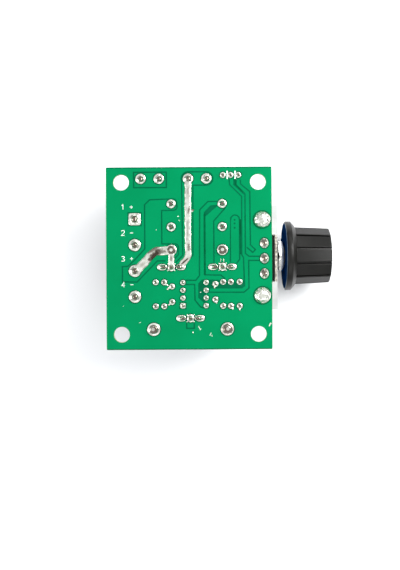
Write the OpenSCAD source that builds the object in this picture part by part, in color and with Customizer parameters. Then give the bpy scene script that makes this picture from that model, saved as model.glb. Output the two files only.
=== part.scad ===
// Motor driver board: a circuit board with a terminal strip, a fuse, capacitors, three cooled
// transistors, a timer chip and a turning knob. Lengths are in millimetres.
// The origin is the centre of the four mounting holes, on the solder face. +Z points out of the
// solder face, +X points at the knob, and the board lies on its capacitors and its large heat sink.

/* [Board] */
// Thickness of the board
board_t = 1.6; // [0.8:0.1:2.4]
// Room between the upper and lower transistors, for the timer chip
middle_room = 13.24; // [12:0.01:18]
// Diameter of the mounting holes
hole_d = 5.2; // [3.2:0.1:5.6]
// Distance from a mounting hole's centre to the terminal, fuse and transistor edges
hole_inset = 5; // [4.6:0.1:5.4]
// Distance from a mounting hole's centre to the knob edge
knob_hole_inset = 4.5; // [4:0.1:5.4]

/* [Terminal strip] */
// Distance between two terminals
terminal_pitch = 8.5; // [7.6:0.1:8.6]
// Depth of the terminal housing
terminal_depth = 12.7; // [12:0.1:13]
// Height of the terminal housing above the board
terminal_h = 14; // [13:0.5:18]
// Diameter of the clamp screw's thread
screw_d = 3; // [2.5:0.1:3.2]
// How far a clamp washer lifts, with the screw still in its plate
clamp_travel = 2.5; // [1:0.1:2.8]

/* [Fuse] */
// Length of the fuse
fuse_len = 20; // [19.5:0.1:20.5]
// Diameter of the fuse's end caps
fuse_d = 5.2; // [4.8:0.1:5.4]

/* [Capacitors] */
// Diameter of a capacitor can
can_d = 16; // [12.5:0.1:16.2]
// Height of a capacitor can above the board
can_h = 25; // [24.6:0.1:32]

/* [Heat sinks] */
// Height of the small heat sinks
small_sink_h = 20; // [18.5:0.5:24]
// Width of the small heat sinks
small_sink_w = 15; // [12:0.1:15.8]
// Width of the large heat sink
large_sink_w = 30; // [28:0.1:34]
// Depth of the large heat sink's fins
fin_depth = 4.6; // [3:0.1:5]

/* [Potentiometer and knob] */
// Distance from the component face to the shaft's axis
shaft_drop = 12.5; // [12.2:0.1:12.8]
// Diameter of the shaft
shaft_d = 6; // [5:0.1:6.2]
// Diameter of the potentiometer's body
pot_d = 16; // [14:0.1:16.4]
// Width of the bracket
bracket_w = 34.4; // [32:0.1:36]
// Thickness of the bracket's sheet
bracket_t = 0.8; // [0.6:0.1:1]
// Diameter of the knob's flange
flange_d = 23.8; // [21.5:0.1:24.4]
// Diameter of the knob's grip at its flange
grip_d = 19.9; // [18.5:0.1:21]
// Length of the knob
knob_len = 15.25; // [13:0.05:18]
// Number of flutes in the knob's grip
flute_count = 12; // [8:1:18]

/* [Hidden] */

$fn = 48;
// Overrun of a cut past the face that it opens
over = 1;
// Radial gap of a round part pressed into a hole
press_gap = 0.02;
// Radial gap of a round part that turns or slides in a hole
run_gap = 0.06;
// Radial gap between a lead and its hole in the board
lead_gap = 0.15;
// Space between two neighbouring parts on the board
part_gap = 0.5;

// The board is as wide and as high as the rows of parts that stand on it. From the terminal edge:
// the strip, two columns of capacitors and small heat sinks, and the body behind the knob. From
// the fuse edge: the fuse, a capacitor, a small heat sink, its transistor, the room for the chip,
// and the lower transistor with the large heat sink.
terminal_inset = 0.2;
can_gap = 0.8;
pot_can_gap = 0.3;
pot_can_len = 6.5;
wafer_t = 1.2;
base_t = 1.4;
bracket_gap = 1.1;
column_pitch = max(can_d + can_gap, small_sink_w + can_gap);
columns_w = column_pitch + can_d;
board_w = terminal_inset + terminal_depth + part_gap + columns_w + pot_can_gap
  + pot_can_len + wafer_t + base_t - bracket_gap;
fuse_edge = 3.8;
clip_t = 0.4;
jaw_r = fuse_d / 2 + run_gap;
clip_y_half = jaw_r + clip_t;
fuse_can_gap = 1;
small_sink_depth = 5.8;
large_sink_t = 2;
fin_edge = 0.8;
pad_t = 0.2;
body_t = 4.5;
board_h = fuse_edge + clip_y_half + fuse_can_gap + can_d + part_gap + small_sink_depth + body_t
  + middle_room + body_t + pad_t + large_sink_t + fin_depth + fin_edge;

// Board edges, faces and mounting holes, with the origin at the middle of the holes
hole_pitch_x = board_w - hole_inset - knob_hole_inset;
hole_pitch_y = board_h - 2 * hole_inset;
board_left = -hole_pitch_x / 2 - hole_inset;
board_right = board_left + board_w;
board_top = board_h / 2;
board_bottom = -board_h / 2;
board_corner_r = 0.5;

// How far leads and pins stand out of the solder face
tip = 1.2;
thin_tip = 0.9;

// Terminal strip: the housing, its walls and its bays
terminal_count = 4;
terminal_shift = 0.2;
barrier_t = 1.5;
back_wall_t = 3.1;
terminal_floor = 6;
contact_t = 0.8;
contact_margin = 0.6;
contact_gap = 0.2;
tail_t = 0.8;
tail_w = 1.6;
clamp_t = 0.8;
clamp_gap = 0.3;
screw_head_d = 5.6;
screw_head_h = 2;
screw_slot_w = 0.8;
screw_slot_depth = 1;
screw_bite = 0.5;
well_gap = 0.4;
well_floor = 0.6;
terminal_front = board_left + terminal_inset;
terminal_back = terminal_front + terminal_depth;
bay_w = terminal_pitch - barrier_t;
bay_back = terminal_back - back_wall_t;
terminal_row_x = bay_back - tail_t / 2;
clamp_side = bay_w - 2 * clamp_gap;
screw_x = terminal_front + contact_margin + clamp_side / 2 + clamp_gap;
clamp_z = terminal_floor + contact_t;
screw_reach = clamp_t + contact_t + clamp_travel + screw_bite;
terminal_ys = [for (i = [0:terminal_count - 1])
  terminal_shift + ((terminal_count - 1) / 2 - i) * terminal_pitch];

// Fuse: two clips with parallel jaws, a glass tube, two end caps and a wire
fuse_from_can = 7.6;
clip_base_t = 0.5;
clip_len = 4;
clip_leg_pitch = 6;
clip_leg_w = 1.2;
clip_from_end = 2.2;
clip_lip = 0.7;
clip_rise = 1.9;
clip_stop_gap = 0.15;
clip_stop_w = 3;
fuse_cap_len = 5.2;
fuse_cap_wall = 0.2;
fuse_cap_end = 0.4;
fuse_glass_wall = 0.5;
fuse_wire_r = 0.12;
fuse_y = board_top - fuse_edge;
fuse_z = clip_base_t / 2 + clip_t + jaw_r;

// Capacitors: cans, rubber seals and leads
can_wall = 0.4;
can_top_t = 0.5;
bead_z = 3.2;
bead_depth = 0.5;
bead_half = 0.7;
can_round = 0.8;
seal_h = 2.6;
roll_gap = 0.3;
can_lead_pitch = 7.6;
can_lead_d = 0.8;
can_mid_x = terminal_back + part_gap + columns_w / 2;
can_y = fuse_y - clip_y_half - fuse_can_gap - can_d / 2;
can_xs = [for (side = [-1, 1]) can_mid_x + side * column_pitch / 2];
fuse_shift = can_mid_x - fuse_from_can;
clip_xs = [for (side = [-1, 1]) fuse_shift + side * (fuse_len / 2 - clip_from_end)];

// Power transistors: body, tab, leads and screws
body_w = 10;
body_h = 9.2;
body_chamfer = 0.5;
tab_w = 10;
tab_h = 15.7;
tab_t = 1.3;
tab_hole_d = 3.8;
tab_hole_drop = 2.8;
tab_corner = 0.8;
lead_pitch = 2.54;
lead_w = 0.8;
lead_t = 0.5;
lead_plane = 2.7;
lead_shoulder_w = 1.3;
lead_shoulder_h = 1.4;
stand_h = 2.6;
pan_head_d = 5.5;
pan_head_h = 2;
pan_screw_d = 3;
pan_screw_len = 5.2;
pan_slot_w = 0.8;
pan_slot_depth = 1;
tab_hole_z = stand_h + tab_h - tab_hole_drop;

// Heat sinks and their pins
small_sink_t = 1.8;
small_fin_t = 1;
sink_pin_d = 2;
sink_pin_len = 8;
small_pin_back = 2.9;
boss_wall = 1.1;
large_fin_t = 1.2;
large_fin_count = 8;
large_pin_inset = 2.9;
large_pin_back = 0.7;
mosfet_from_can = 2.2;
sink_row_y = can_y - can_d / 2 - part_gap - small_sink_depth;
large_row_y = board_bottom + fin_edge + fin_depth + large_sink_t;
mosfet_x = can_mid_x - mosfet_from_can;
large_sink_h = can_h;
small_sink_xs = can_xs;
upper_lead_y = sink_row_y - lead_plane;
mosfet_lead_y = large_row_y + pad_t + lead_plane;
small_pin_y = sink_row_y + small_pin_back;
large_pin_y = large_row_y - large_pin_back;
large_pin_xs = [for (side = [-1, 1]) mosfet_x + side * (large_sink_w / 2 - large_pin_inset)];

// Timer chip and the small parts beside it
timer_from_can = 0.85;
timer_x = can_mid_x - timer_from_can;
timer_rows = 7.62;
timer_pitch = 2.54;
timer_w = 6.35;
timer_len = 9.4;
timer_h = 3.3;
timer_rise = 0.5;
timer_notch_r = 0.8;
timer_notch_depth = 0.3;
leg_w = 0.5;
leg_t = 0.25;
leg_shoulder_w = 1.3;
upper_face_y = sink_row_y - body_t;
mosfet_face_y = large_row_y + pad_t + body_t;
middle_y = (upper_face_y + mosfet_face_y) / 2 - part_gap;
axial_span = 7.9;
axial_d = 2.3;
axial_len = 5.6;
axial_lead_d = 0.6;
axial_rise = 0.2;
diode_d = 2.4;
diode_len = 5;
resistor_cap_share = 0.24;
resistor_waist_share = 0.85;
disc_d = 6.4;
disc_t = 2;
disc_rise = 1.4;
disc_span = 5.08;
disc_lead_d = 0.5;
disc_lead_end = 1;
axial_z = axial_rise + axial_d / 2;
disc_z = disc_rise + disc_d / 2;

// Steps outward from the chip's rows of legs: a disc, then the parts that lie flat
left_disc_step = 3.54;
left_diode_step = 2.6;
left_resistor_step = 2.8;
right_disc_step = 3.04;
right_disc_shift = 0.75;
right_resistor_step = 2.55;
right_diode_step = 2.9;
left_disc_x = timer_x - timer_rows / 2 - left_disc_step;
left_diode_x = left_disc_x - left_diode_step;
right_disc_x = timer_x + timer_rows / 2 + right_disc_step;
right_resistor_x = right_disc_x + right_resistor_step;
disc_places = [[left_disc_x, middle_y], [right_disc_x, middle_y + right_disc_shift]];
resistor_xs = [left_diode_x - left_resistor_step, right_resistor_x,
               right_resistor_x + right_resistor_step];
diode_xs = [left_diode_x, right_resistor_x + right_resistor_step + right_diode_step];

// Pin header
header_count = 3;
header_pitch = 2.54;
header_pin = 0.64;
header_rise = 8.5;
header_from_can = 11.2;
header_x = can_mid_x + header_from_can;
header_edge = 2.7;
header_y = board_top - header_edge;
header_xs = [for (i = [0:header_count - 1])
  header_x + (i - (header_count - 1) / 2) * header_pitch];

// Potentiometer: the bracket's face stands clear of the board's edge, and the body hangs behind it
bracket_y = 0.15;
bracket_h = 22.6;
bracket_corner_r = 3;
bracket_notch_w = 15.6;
lug_pitch = 24.9;
lug_w = 2.4;
lug_back = 3.2;
lug_tip = 1;
flange_back = 5.6;
base_w = 15;
base_rise = 9.6;
wafer_inset = 0.4;
bushing_d = 7;
bushing_proud = 0.3;
bushing_flange_d = 12;
bushing_flange_t = 0.8;
pot_row_y = -0.15;
pot_pin_pitch = 5;
pot_pin_w = 1.2;
pot_pin_t = 0.4;
pot_pin_back = 2.5;
pot_pin_foot = 3.4;
pot_can_wall = 0.4;
rotor_t = 2.4;
rotor_gap = 0.6;
rotor_d = 11;
wiper_t = 0.3;
wiper_w = 2;
washer_t = 1.2;
washer_d = 9.2;
nut_af = 10;
nut_t = 1.8;
nut_bevel = 0.7;
nut_face_share = 0.96;
shaft_end = 2.6;
face_x = board_right + bracket_gap;
axis_z = -board_t - shaft_drop;
axis_y = 0.6;
base_back = face_x - base_t;
wafer_back = base_back - wafer_t;
pot_pin_x = board_right - pot_pin_back;
lug_x = board_right - lug_back;
pot_can_back = wafer_back - pot_can_len;
nut_x = face_x + bracket_t + washer_t;
bushing_end = nut_x + nut_t + bushing_proud;

// Knob: a fluted shell, a coloured core and a pointer
knob_gap = 0.55;
flange_t = 2;
flange_slope = 1.3;
flange_step = 0.4;
grip_end_share = 0.952;
grip_round = 0.6;
shell_wall = 1.5;
shell_face_t = 2;
core_disc_t = 1.2;
core_rim = 0.6;
core_hub_wall = 1.8;
core_face_d = 12.6;
core_face_t = 3;
core_proud = 0.3;
flute_w = 0.7;
flute_depth = 0.9;
pointer_w = 1.2;
pointer_depth = 0.4;
core_gap = 0.05;
knob_back = nut_x + nut_t + knob_gap;
knob_front = knob_back + knob_len;
shaft_front = knob_front - shaft_end;

// Solder: heights and radii of the mounds
mound_h = 1;
fine_mound_h = 0.75;
lug_mound_h = 1.5;
terminal_pad_d = 4;
fuse_pad_d = 3.4;
can_pad_d = 2.9;
fine_pad_d = 1.9;
timer_pad_d = 1.7;
sink_pad_d = 3.9;
pot_pad_d = 3;
lug_pad_d = 5.6;
transistor_pad_d = 2.1;
mound_lip = 0.1;
waist_share = 0.62;
waist_rise_share = 0.42;
tinned_h = 0.4;
narrow_track_w = 2.1;
broad_track_w = 3.1;

// Centres of the leads that pass through the board
terminal_leads = [for (y = terminal_ys) [terminal_row_x, y]];
fuse_leads = [for (x = clip_xs, side = [-1, 1]) [x + side * clip_leg_pitch / 2, fuse_y]];
header_leads = [for (x = header_xs) [x, header_y]];
can_leads = [for (x = can_xs, side = [-1, 1]) [x, can_y + side * can_lead_pitch / 2]];
small_pins = [for (x = small_sink_xs) [x, small_pin_y]];
large_pins = [for (x = large_pin_xs) [x, large_pin_y]];
upper_leads = [for (x = small_sink_xs, i = [-1:1]) [x + i * lead_pitch, upper_lead_y]];
mosfet_leads = [for (i = [-1:1]) [mosfet_x + i * lead_pitch, mosfet_lead_y]];
timer_leads = [for (side = [-1, 1], i = [-1.5:1:1.5])
  [timer_x + side * timer_rows / 2, middle_y + i * timer_pitch]];
axial_leads_xy = [for (x = concat(resistor_xs, diode_xs), side = [-1, 1])
  [x, middle_y + side * axial_span / 2]];
disc_leads = [for (place = disc_places, side = [-1, 1]) place + [0, side * disc_span / 2]];
pot_leads = [for (i = [-1:1]) [pot_pin_x, pot_row_y + i * pot_pin_pitch]];
lug_leads = [for (side = [-1, 1]) [lug_x, bracket_y + side * lug_pitch / 2]];

// Turns a part that is drawn standing on the board's component face to its place below the board
module component_side() {
  translate([0, 0, -board_t]) mirror([0, 0, 1]) children();
}

// Turns a part that is drawn along +Z, from zero, to lie along +X on the shaft's axis
module on_shaft(x) {
  translate([x, axis_y, axis_z]) rotate([0, 90, 0]) children();
}

// A slab between two corners
module slab(low, high) {
  translate(low) cube(high - low);
}

// A strip of flat metal standing on a lead's place, from one height to another
module post(place, size, low, high) {
  translate([place[0] - size[0] / 2, place[1] - size[1] / 2, low])
    cube([size[0], size[1], high - low]);
}

// A round lead standing on its place, from one height to another
module rod(place, d, low, high) {
  translate([place[0], place[1], low]) cylinder(d = d, h = high - low);
}

// A flat outline with round corners
module round_outline(w, h, r) {
  square([w, h - 2 * r], center = true);
  square([w - 2 * r, h], center = true);
  for (x = [-1, 1], y = [-1, 1])
    translate([x * (w / 2 - r), y * (h / 2 - r)]) circle(r = r);
}

function diagonal(w, t) = sqrt(w * w + t * t);

// Round holes through the board
module board_holes(places, d) {
  for (place = places)
    rod(place, d + 2 * lead_gap, -board_t - over, over);
}

module circuit_board() {
  color("seagreen") difference() {
    translate([(board_left + board_right) / 2, 0, -board_t])
      linear_extrude(board_t) round_outline(board_w, board_h, board_corner_r);
    for (x = [-1, 1], y = [-1, 1])
      translate([x * hole_pitch_x / 2, y * hole_pitch_y / 2, -board_t - over])
        cylinder(d = hole_d, h = board_t + 2 * over);
    board_holes(terminal_leads, diagonal(tail_w, tail_t));
    board_holes(fuse_leads, diagonal(clip_leg_w, clip_t));
    board_holes(header_leads, diagonal(header_pin, header_pin));
    board_holes(can_leads, can_lead_d);
    board_holes(concat(small_pins, large_pins), sink_pin_d);
    board_holes(concat(upper_leads, mosfet_leads), diagonal(lead_w, lead_t));
    board_holes(timer_leads, diagonal(leg_w, leg_t));
    board_holes(axial_leads_xy, axial_lead_d);
    board_holes(disc_leads, disc_lead_d);
    board_holes(pot_leads, diagonal(pot_pin_w, pot_pin_t));
    board_holes(lug_leads, diagonal(lug_w, bracket_t));
  }
}

// A solder mound round a lead: broad at the board, drawn in at its waist, narrow at the lead
module mound(d, h, core_d) {
  foot = d / 2;
  neck = core_d / 2 + mound_lip;
  rotate_extrude() polygon([
    [0, 0],
    [foot, 0],
    [neck + (foot - neck) * waist_share, h * waist_rise_share],
    [neck, h],
    [0, h]
  ]);
}

// Mounds round flat leads
module flat_mounds(places, d, h, size) {
  for (place = places) difference() {
    translate([place[0], place[1], 0]) mound(d, h, diagonal(size[0], size[1]));
    post(place, size, -over, h + over);
  }
}

// Mounds round round leads
module round_mounds(places, d, h, lead_d) {
  for (place = places) difference() {
    translate([place[0], place[1], 0]) mound(d, h, lead_d);
    rod(place, lead_d + press_gap * 2, -over, h + over);
  }
}

module solder_joints() {
  color("gainsboro") {
    flat_mounds(terminal_leads, terminal_pad_d, mound_h, [tail_t, tail_w]);
    flat_mounds(fuse_leads, fuse_pad_d, mound_h, [clip_t, clip_leg_w]);
    flat_mounds(header_leads, fine_pad_d, fine_mound_h, [header_pin, header_pin]);
    round_mounds(can_leads, can_pad_d, mound_h, can_lead_d);
    round_mounds(concat(small_pins, large_pins), sink_pad_d, fine_mound_h, sink_pin_d);
    flat_mounds(concat(upper_leads, mosfet_leads), transistor_pad_d, mound_h, [lead_w, lead_t]);
    flat_mounds(timer_leads, timer_pad_d, fine_mound_h, [leg_t, leg_w]);
    round_mounds(axial_leads_xy, fine_pad_d, fine_mound_h, axial_lead_d);
    round_mounds(disc_leads, fine_pad_d, fine_mound_h, disc_lead_d);
    flat_mounds(pot_leads, pot_pad_d, mound_h, [pot_pin_t, pot_pin_w]);
    flat_mounds(lug_leads, lug_pad_d, lug_mound_h, [bracket_t, lug_w]);
  }
}

// A flat strip with round ends through a row of points
module strip_path(points, w) {
  for (p = points) translate(p) circle(d = w);
  for (i = [0:len(points) - 2]) {
    step = points[i + 1] - points[i];
    translate(points[i]) rotate(atan2(step[1], step[0]))
      translate([0, -w / 2]) square([norm(step), w]);
  }
}

// Solder laid along two tracks: fuse to rectifier, and terminal to rectifier
module tinned_tracks() {
  fuse_place = fuse_leads[2];
  rectifier_place = upper_leads[2];
  pin_place = small_pins[0];
  motor_place = terminal_leads[2];
  bend = rectifier_place[0] - fuse_place[0];
  slope = pin_place[1] - motor_place[1];
  color("silver") difference() {
    union() {
      linear_extrude(tinned_h) {
        strip_path([
          fuse_place,
          [fuse_place[0], rectifier_place[1] - bend],
          rectifier_place
        ], narrow_track_w);
        strip_path([pin_place, upper_leads[1]], narrow_track_w);
      }
      linear_extrude(tinned_h) strip_path([
        motor_place,
        [motor_place[0] + slope, pin_place[1]],
        pin_place
      ], broad_track_w);
    }
    for (cut = [[fuse_place, fuse_pad_d], [rectifier_place, transistor_pad_d],
                [upper_leads[1], transistor_pad_d], [pin_place, sink_pad_d],
                [motor_place, terminal_pad_d]])
      rod(cut[0], cut[1], -over, tinned_h + over);
  }
}

module terminal_housing() {
  low_y = terminal_ys[terminal_count - 1] - (terminal_pitch + barrier_t) / 2;
  high_y = terminal_ys[0] + (terminal_pitch + barrier_t) / 2;
  color("dimgray") component_side() difference() {
    slab([terminal_front, low_y, 0], [terminal_back, high_y, terminal_h]);
    for (y = terminal_ys) {
      slab([terminal_front - over, y - bay_w / 2, terminal_floor],
           [bay_back, y + bay_w / 2, terminal_h + over]);
      rod([screw_x, y], screw_d + 2 * well_gap, well_floor, terminal_floor + over);
      post([terminal_row_x, y], [tail_t, tail_w], -over, terminal_floor + over);
    }
  }
}

// One plate in each bay, tapped for the screw, with a tail down through the board
module terminal_contacts() {
  color("khaki") component_side() for (y = terminal_ys) difference() {
    union() {
      slab([terminal_front + contact_margin, y - bay_w / 2 + contact_gap, terminal_floor],
           [bay_back, y + bay_w / 2 - contact_gap, clamp_z]);
      post([terminal_row_x, y], [tail_t, tail_w], -board_t - tip, clamp_z);
    }
    rod([screw_x, y], screw_d + 2 * run_gap, terminal_floor - over, clamp_z + over);
  }
}

module terminal_clamp(i) {
  place = [screw_x, terminal_ys[i]];
  color("gold") component_side() difference() {
    post(place, [clamp_side, clamp_side], clamp_z, clamp_z + clamp_t);
    rod(place, screw_d + 2 * run_gap, clamp_z - over, clamp_z + clamp_t + over);
  }
}

module terminal_screw(i) {
  place = [screw_x, terminal_ys[i]];
  head_z = clamp_z + clamp_t;
  head_top = head_z + screw_head_h;
  color("silver") component_side() difference() {
    union() {
      rod(place, screw_d, head_z - screw_reach, head_z);
      rod(place, screw_head_d, head_z, head_top);
    }
    for (size = [[screw_head_d + over, screw_slot_w], [screw_slot_w, screw_head_d + over]])
      post(place, size, head_top - screw_slot_depth, head_top + over);
  }
}

// One clip: a base strip with two legs, a jaw open away from the board, and an end stop
module fuse_clip(i) {
  side = sign(clip_xs[i] - fuse_shift);
  stop_x = fuse_shift + side * (fuse_len / 2 + clip_stop_gap + clip_t / 2);
  strip_half = clip_leg_pitch / 2 + clip_t / 2;
  jaw_top = fuse_z + clip_rise;
  color("lightsteelblue") component_side() translate([0, fuse_y, 0]) {
    slab([clip_xs[i] - strip_half, -clip_stop_w / 2, 0],
         [clip_xs[i] + strip_half, clip_stop_w / 2, clip_base_t]);
    for (end = [-1, 1])
      post([clip_xs[i] + end * clip_leg_pitch / 2, 0], [clip_t, clip_leg_w], -board_t - tip, 0);
    post([stop_x, 0], [clip_t, clip_stop_w], 0, fuse_z);
    translate([clip_xs[i] - clip_len / 2, 0, 0]) rotate([90, 0, 90]) linear_extrude(clip_len) {
      difference() {
        union() {
          translate([0, fuse_z]) circle(r = jaw_r + clip_t);
          translate([-jaw_r - clip_t, fuse_z]) square([2 * (jaw_r + clip_t), clip_rise]);
        }
        translate([0, fuse_z]) circle(r = jaw_r);
        translate([-jaw_r, fuse_z]) square([2 * jaw_r, jaw_r + clip_t + clip_rise]);
      }
      for (flip = [-1, 1]) polygon([
        [flip * jaw_r, jaw_top],
        [flip * (jaw_r + clip_t), jaw_top],
        [flip * (jaw_r + clip_lip), jaw_top + clip_lip],
        [flip * (jaw_r + clip_lip - clip_t), jaw_top + clip_lip]
      ]);
    }
  }
}

// Places a part drawn along +Z from zero on the fuse's axis, from its left end
module on_fuse(x) {
  component_side() translate([x, fuse_y, fuse_z]) rotate([0, 90, 0]) children();
}

module fuse_glass() {
  glass_len = fuse_len - 2 * fuse_cap_end;
  glass_d = fuse_d - 2 * fuse_cap_wall - 2 * press_gap;
  color("white", 0.5) on_fuse(fuse_shift - glass_len / 2) difference() {
    cylinder(d = glass_d, h = glass_len);
    translate([0, 0, -over]) cylinder(d = glass_d - 2 * fuse_glass_wall, h = glass_len + 2 * over);
  }
}

module fuse_caps() {
  color("silver") for (side = [-1, 1])
    component_side() translate([fuse_shift + side * fuse_len / 2, fuse_y, fuse_z])
      rotate([0, -90 * side, 0]) difference() {
        cylinder(d = fuse_d, h = fuse_cap_len);
        translate([0, 0, fuse_cap_end]) cylinder(d = fuse_d - 2 * fuse_cap_wall, h = fuse_cap_len);
      }
}

module fuse_wire() {
  wire_len = fuse_len - 2 * fuse_cap_end;
  color("silver") on_fuse(fuse_shift - wire_len / 2) cylinder(r = fuse_wire_r, h = wire_len);
}

module header_body() {
  color("darkslategray") component_side() difference() {
    post([header_x, header_y], [header_count * header_pitch, header_pitch], 0, header_pitch);
    for (place = header_leads) post(place, [header_pin, header_pin], -over, header_pitch + over);
  }
}

module header_pins() {
  color("gold") component_side() for (place = header_leads)
    post(place, [header_pin, header_pin], -board_t - tip, header_rise);
}

// The can is drawn in at its bead, rounded at its closed end and open at the board
module capacitor_can(i) {
  r = can_d / 2;
  bore = r - can_wall;
  color("navy") component_side() translate([can_xs[i], can_y, 0]) rotate_extrude() difference() {
    union() {
      square([r, bead_z - bead_half]);
      polygon([
        [0, bead_z - bead_half],
        [r, bead_z - bead_half],
        [r - bead_depth, bead_z],
        [r, bead_z + bead_half],
        [0, bead_z + bead_half]
      ]);
      translate([0, bead_z + bead_half]) square([r, can_h - bead_z - bead_half - can_round]);
      square([r - can_round, can_h]);
      translate([r - can_round, can_h - can_round]) circle(r = can_round);
    }
    translate([0, -over]) square([bore, seal_h + over]);
    translate([0, bead_z + bead_half]) square([bore, can_h - can_top_t - bead_z - bead_half]);
    translate([0, seal_h]) square([bore - bead_depth, bead_z + bead_half - seal_h + over]);
  }
}

// The wound foil inside each can
module capacitor_rolls() {
  roll_low = bead_z + bead_half + roll_gap;
  color("tan") component_side() for (x = can_xs)
    rod([x, can_y], can_d - 2 * can_wall - 2 * roll_gap, roll_low, can_h - can_top_t);
}

module capacitor_seals() {
  color("black") component_side() for (x = can_xs) difference() {
    rod([x, can_y], can_d - 2 * can_wall - 2 * press_gap, 0, seal_h);
    for (side = [-1, 1])
      rod([x, can_y + side * can_lead_pitch / 2], can_lead_d + 2 * press_gap, -over, seal_h + over);
  }
}

module capacitor_leads() {
  roll_low = bead_z + bead_half + roll_gap;
  color("silver") component_side() for (place = can_leads)
    rod(place, can_lead_d, -board_t - tip, roll_low);
}

// Profile of a small heat sink: a plate, two outer fins and two inner fins
module small_sink_outline() {
  w = small_sink_w;
  square_x = w / 2 - small_fin_t;
  boss_r = sink_pin_d / 2 + boss_wall;
  translate([-w / 2, 0]) square([w, small_sink_t]);
  for (x = [-w / 2, square_x]) translate([x, 0]) square([small_fin_t, small_sink_depth]);
  for (x = [-1, 1]) translate([x * w / 4 - small_fin_t / 2, 0])
    square([small_fin_t, small_sink_depth]);
  translate([0, small_pin_back]) circle(r = boss_r);
  translate([-boss_r, 0]) square([2 * boss_r, small_pin_back]);
}

module small_sink(i) {
  color("darkgray") component_side() translate([small_sink_xs[i], sink_row_y, 0]) difference() {
    linear_extrude(small_sink_h) small_sink_outline();
    rod([0, small_pin_back], sink_pin_d + 2 * press_gap, -over, sink_pin_len);
    translate([0, -over, tab_hole_z]) rotate([-90, 0, 0])
      cylinder(d = pan_screw_d + 2 * press_gap, h = pan_screw_len - tab_t + over);
  }
}

// Profile of the large heat sink: a plate with pin bosses and a row of fins
module large_sink_outline() {
  w = large_sink_w;
  boss_r = sink_pin_d / 2 + boss_wall;
  fin_step = (w - large_fin_t) / (large_fin_count - 1);
  translate([-w / 2, -large_sink_t]) square([w, large_sink_t]);
  for (i = [0:large_fin_count - 1]) translate([-w / 2 + i * fin_step, -large_sink_t - fin_depth])
    square([large_fin_t, fin_depth + large_sink_t]);
  for (side = [-1, 1]) translate([side * (w / 2 - large_pin_inset), -large_pin_back])
    circle(r = boss_r);
}

module large_sink() {
  color("darkgray") component_side() translate([mosfet_x, large_row_y, 0]) difference() {
    linear_extrude(large_sink_h) large_sink_outline();
    for (side = [-1, 1])
      rod([side * (large_sink_w / 2 - large_pin_inset), -large_pin_back],
          sink_pin_d + 2 * press_gap, -over, sink_pin_len);
    translate([0, over, tab_hole_z]) rotate([90, 0, 0])
      cylinder(d = pan_screw_d + 2 * press_gap, h = large_sink_t + fin_depth + 2 * over);
  }
}

module sink_pins() {
  color("silver") component_side() for (place = concat(small_pins, large_pins))
    rod(place, sink_pin_d, -board_t - tip, sink_pin_len);
}

// Places a transistor part, drawn with its tab's back on the plane y = 0 and its leads below it
module transistor_place(i) {
  places = [[small_sink_xs[0], sink_row_y, 0], [small_sink_xs[1], sink_row_y, 0],
            [mosfet_x, large_row_y + pad_t, 180]];
  component_side() translate([places[i][0], places[i][1], 0]) rotate(places[i][2]) children();
}

// Moulded body in front of the tab, with its front corners cut
module transistor_body(i) {
  half = body_w / 2;
  color("dimgray") transistor_place(i) translate([0, 0, stand_h]) linear_extrude(body_h) polygon([
    [-half, -tab_t],
    [-half, body_chamfer - body_t],
    [body_chamfer - half, -body_t],
    [half - body_chamfer, -body_t],
    [half, body_chamfer - body_t],
    [half, -tab_t]
  ]);
}

// Metal tab behind the body, with its upper corners cut and a hole for the screw
module transistor_tab(i) {
  half = tab_w / 2;
  top = stand_h + tab_h;
  color("silver") transistor_place(i) rotate([90, 0, 0]) difference() {
    linear_extrude(tab_t) polygon([
      [-half, stand_h],
      [half, stand_h],
      [half, top - tab_corner],
      [half - tab_corner, top],
      [tab_corner - half, top],
      [-half, top - tab_corner]
    ]);
    translate([0, tab_hole_z, -over]) cylinder(d = tab_hole_d, h = tab_t + 2 * over);
  }
}

module transistor_leads() {
  color("silver") for (i = [0:2]) transistor_place(i) for (step = [-1:1]) {
    place = [step * lead_pitch, -lead_plane];
    post(place, [lead_w, lead_t], -board_t - tip, stand_h);
    post(place, [lead_shoulder_w, lead_t], stand_h - lead_shoulder_h, stand_h);
  }
}

module transistor_screws() {
  color("silver") for (i = [0:2]) transistor_place(i) translate([0, 0, tab_hole_z]) {
    difference() {
      translate([0, -tab_t, 0]) rotate([90, 0, 0]) cylinder(d = pan_head_d, h = pan_head_h);
      translate([0, -tab_t - pan_head_h, 0])
        for (size = [[pan_head_d + over, pan_slot_w], [pan_slot_w, pan_head_d + over]])
          cube([size[0], 2 * pan_slot_depth, size[1]], center = true);
    }
    translate([0, -tab_t, 0]) rotate([-90, 0, 0])
      cylinder(d = pan_screw_d, h = pan_screw_len);
  }
}

// A thin electrically insulating pad between the large heat sink and its transistor
module insulating_pad() {
  color("lightgray") component_side() translate([mosfet_x, large_row_y, 0]) difference() {
    slab([-tab_w / 2, 0, stand_h], [tab_w / 2, pad_t, stand_h + tab_h]);
    translate([0, pad_t + over, tab_hole_z]) rotate([90, 0, 0])
      cylinder(d = tab_hole_d, h = pad_t + 2 * over);
  }
}

module timer_chip() {
  top = timer_rise + timer_h;
  color("dimgray") component_side() translate([timer_x, middle_y, 0]) difference() {
    post([0, 0], [timer_w, timer_len], timer_rise, top);
    rod([0, -timer_len / 2], 2 * timer_notch_r, top - timer_notch_depth, top + over);
  }
}

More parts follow.
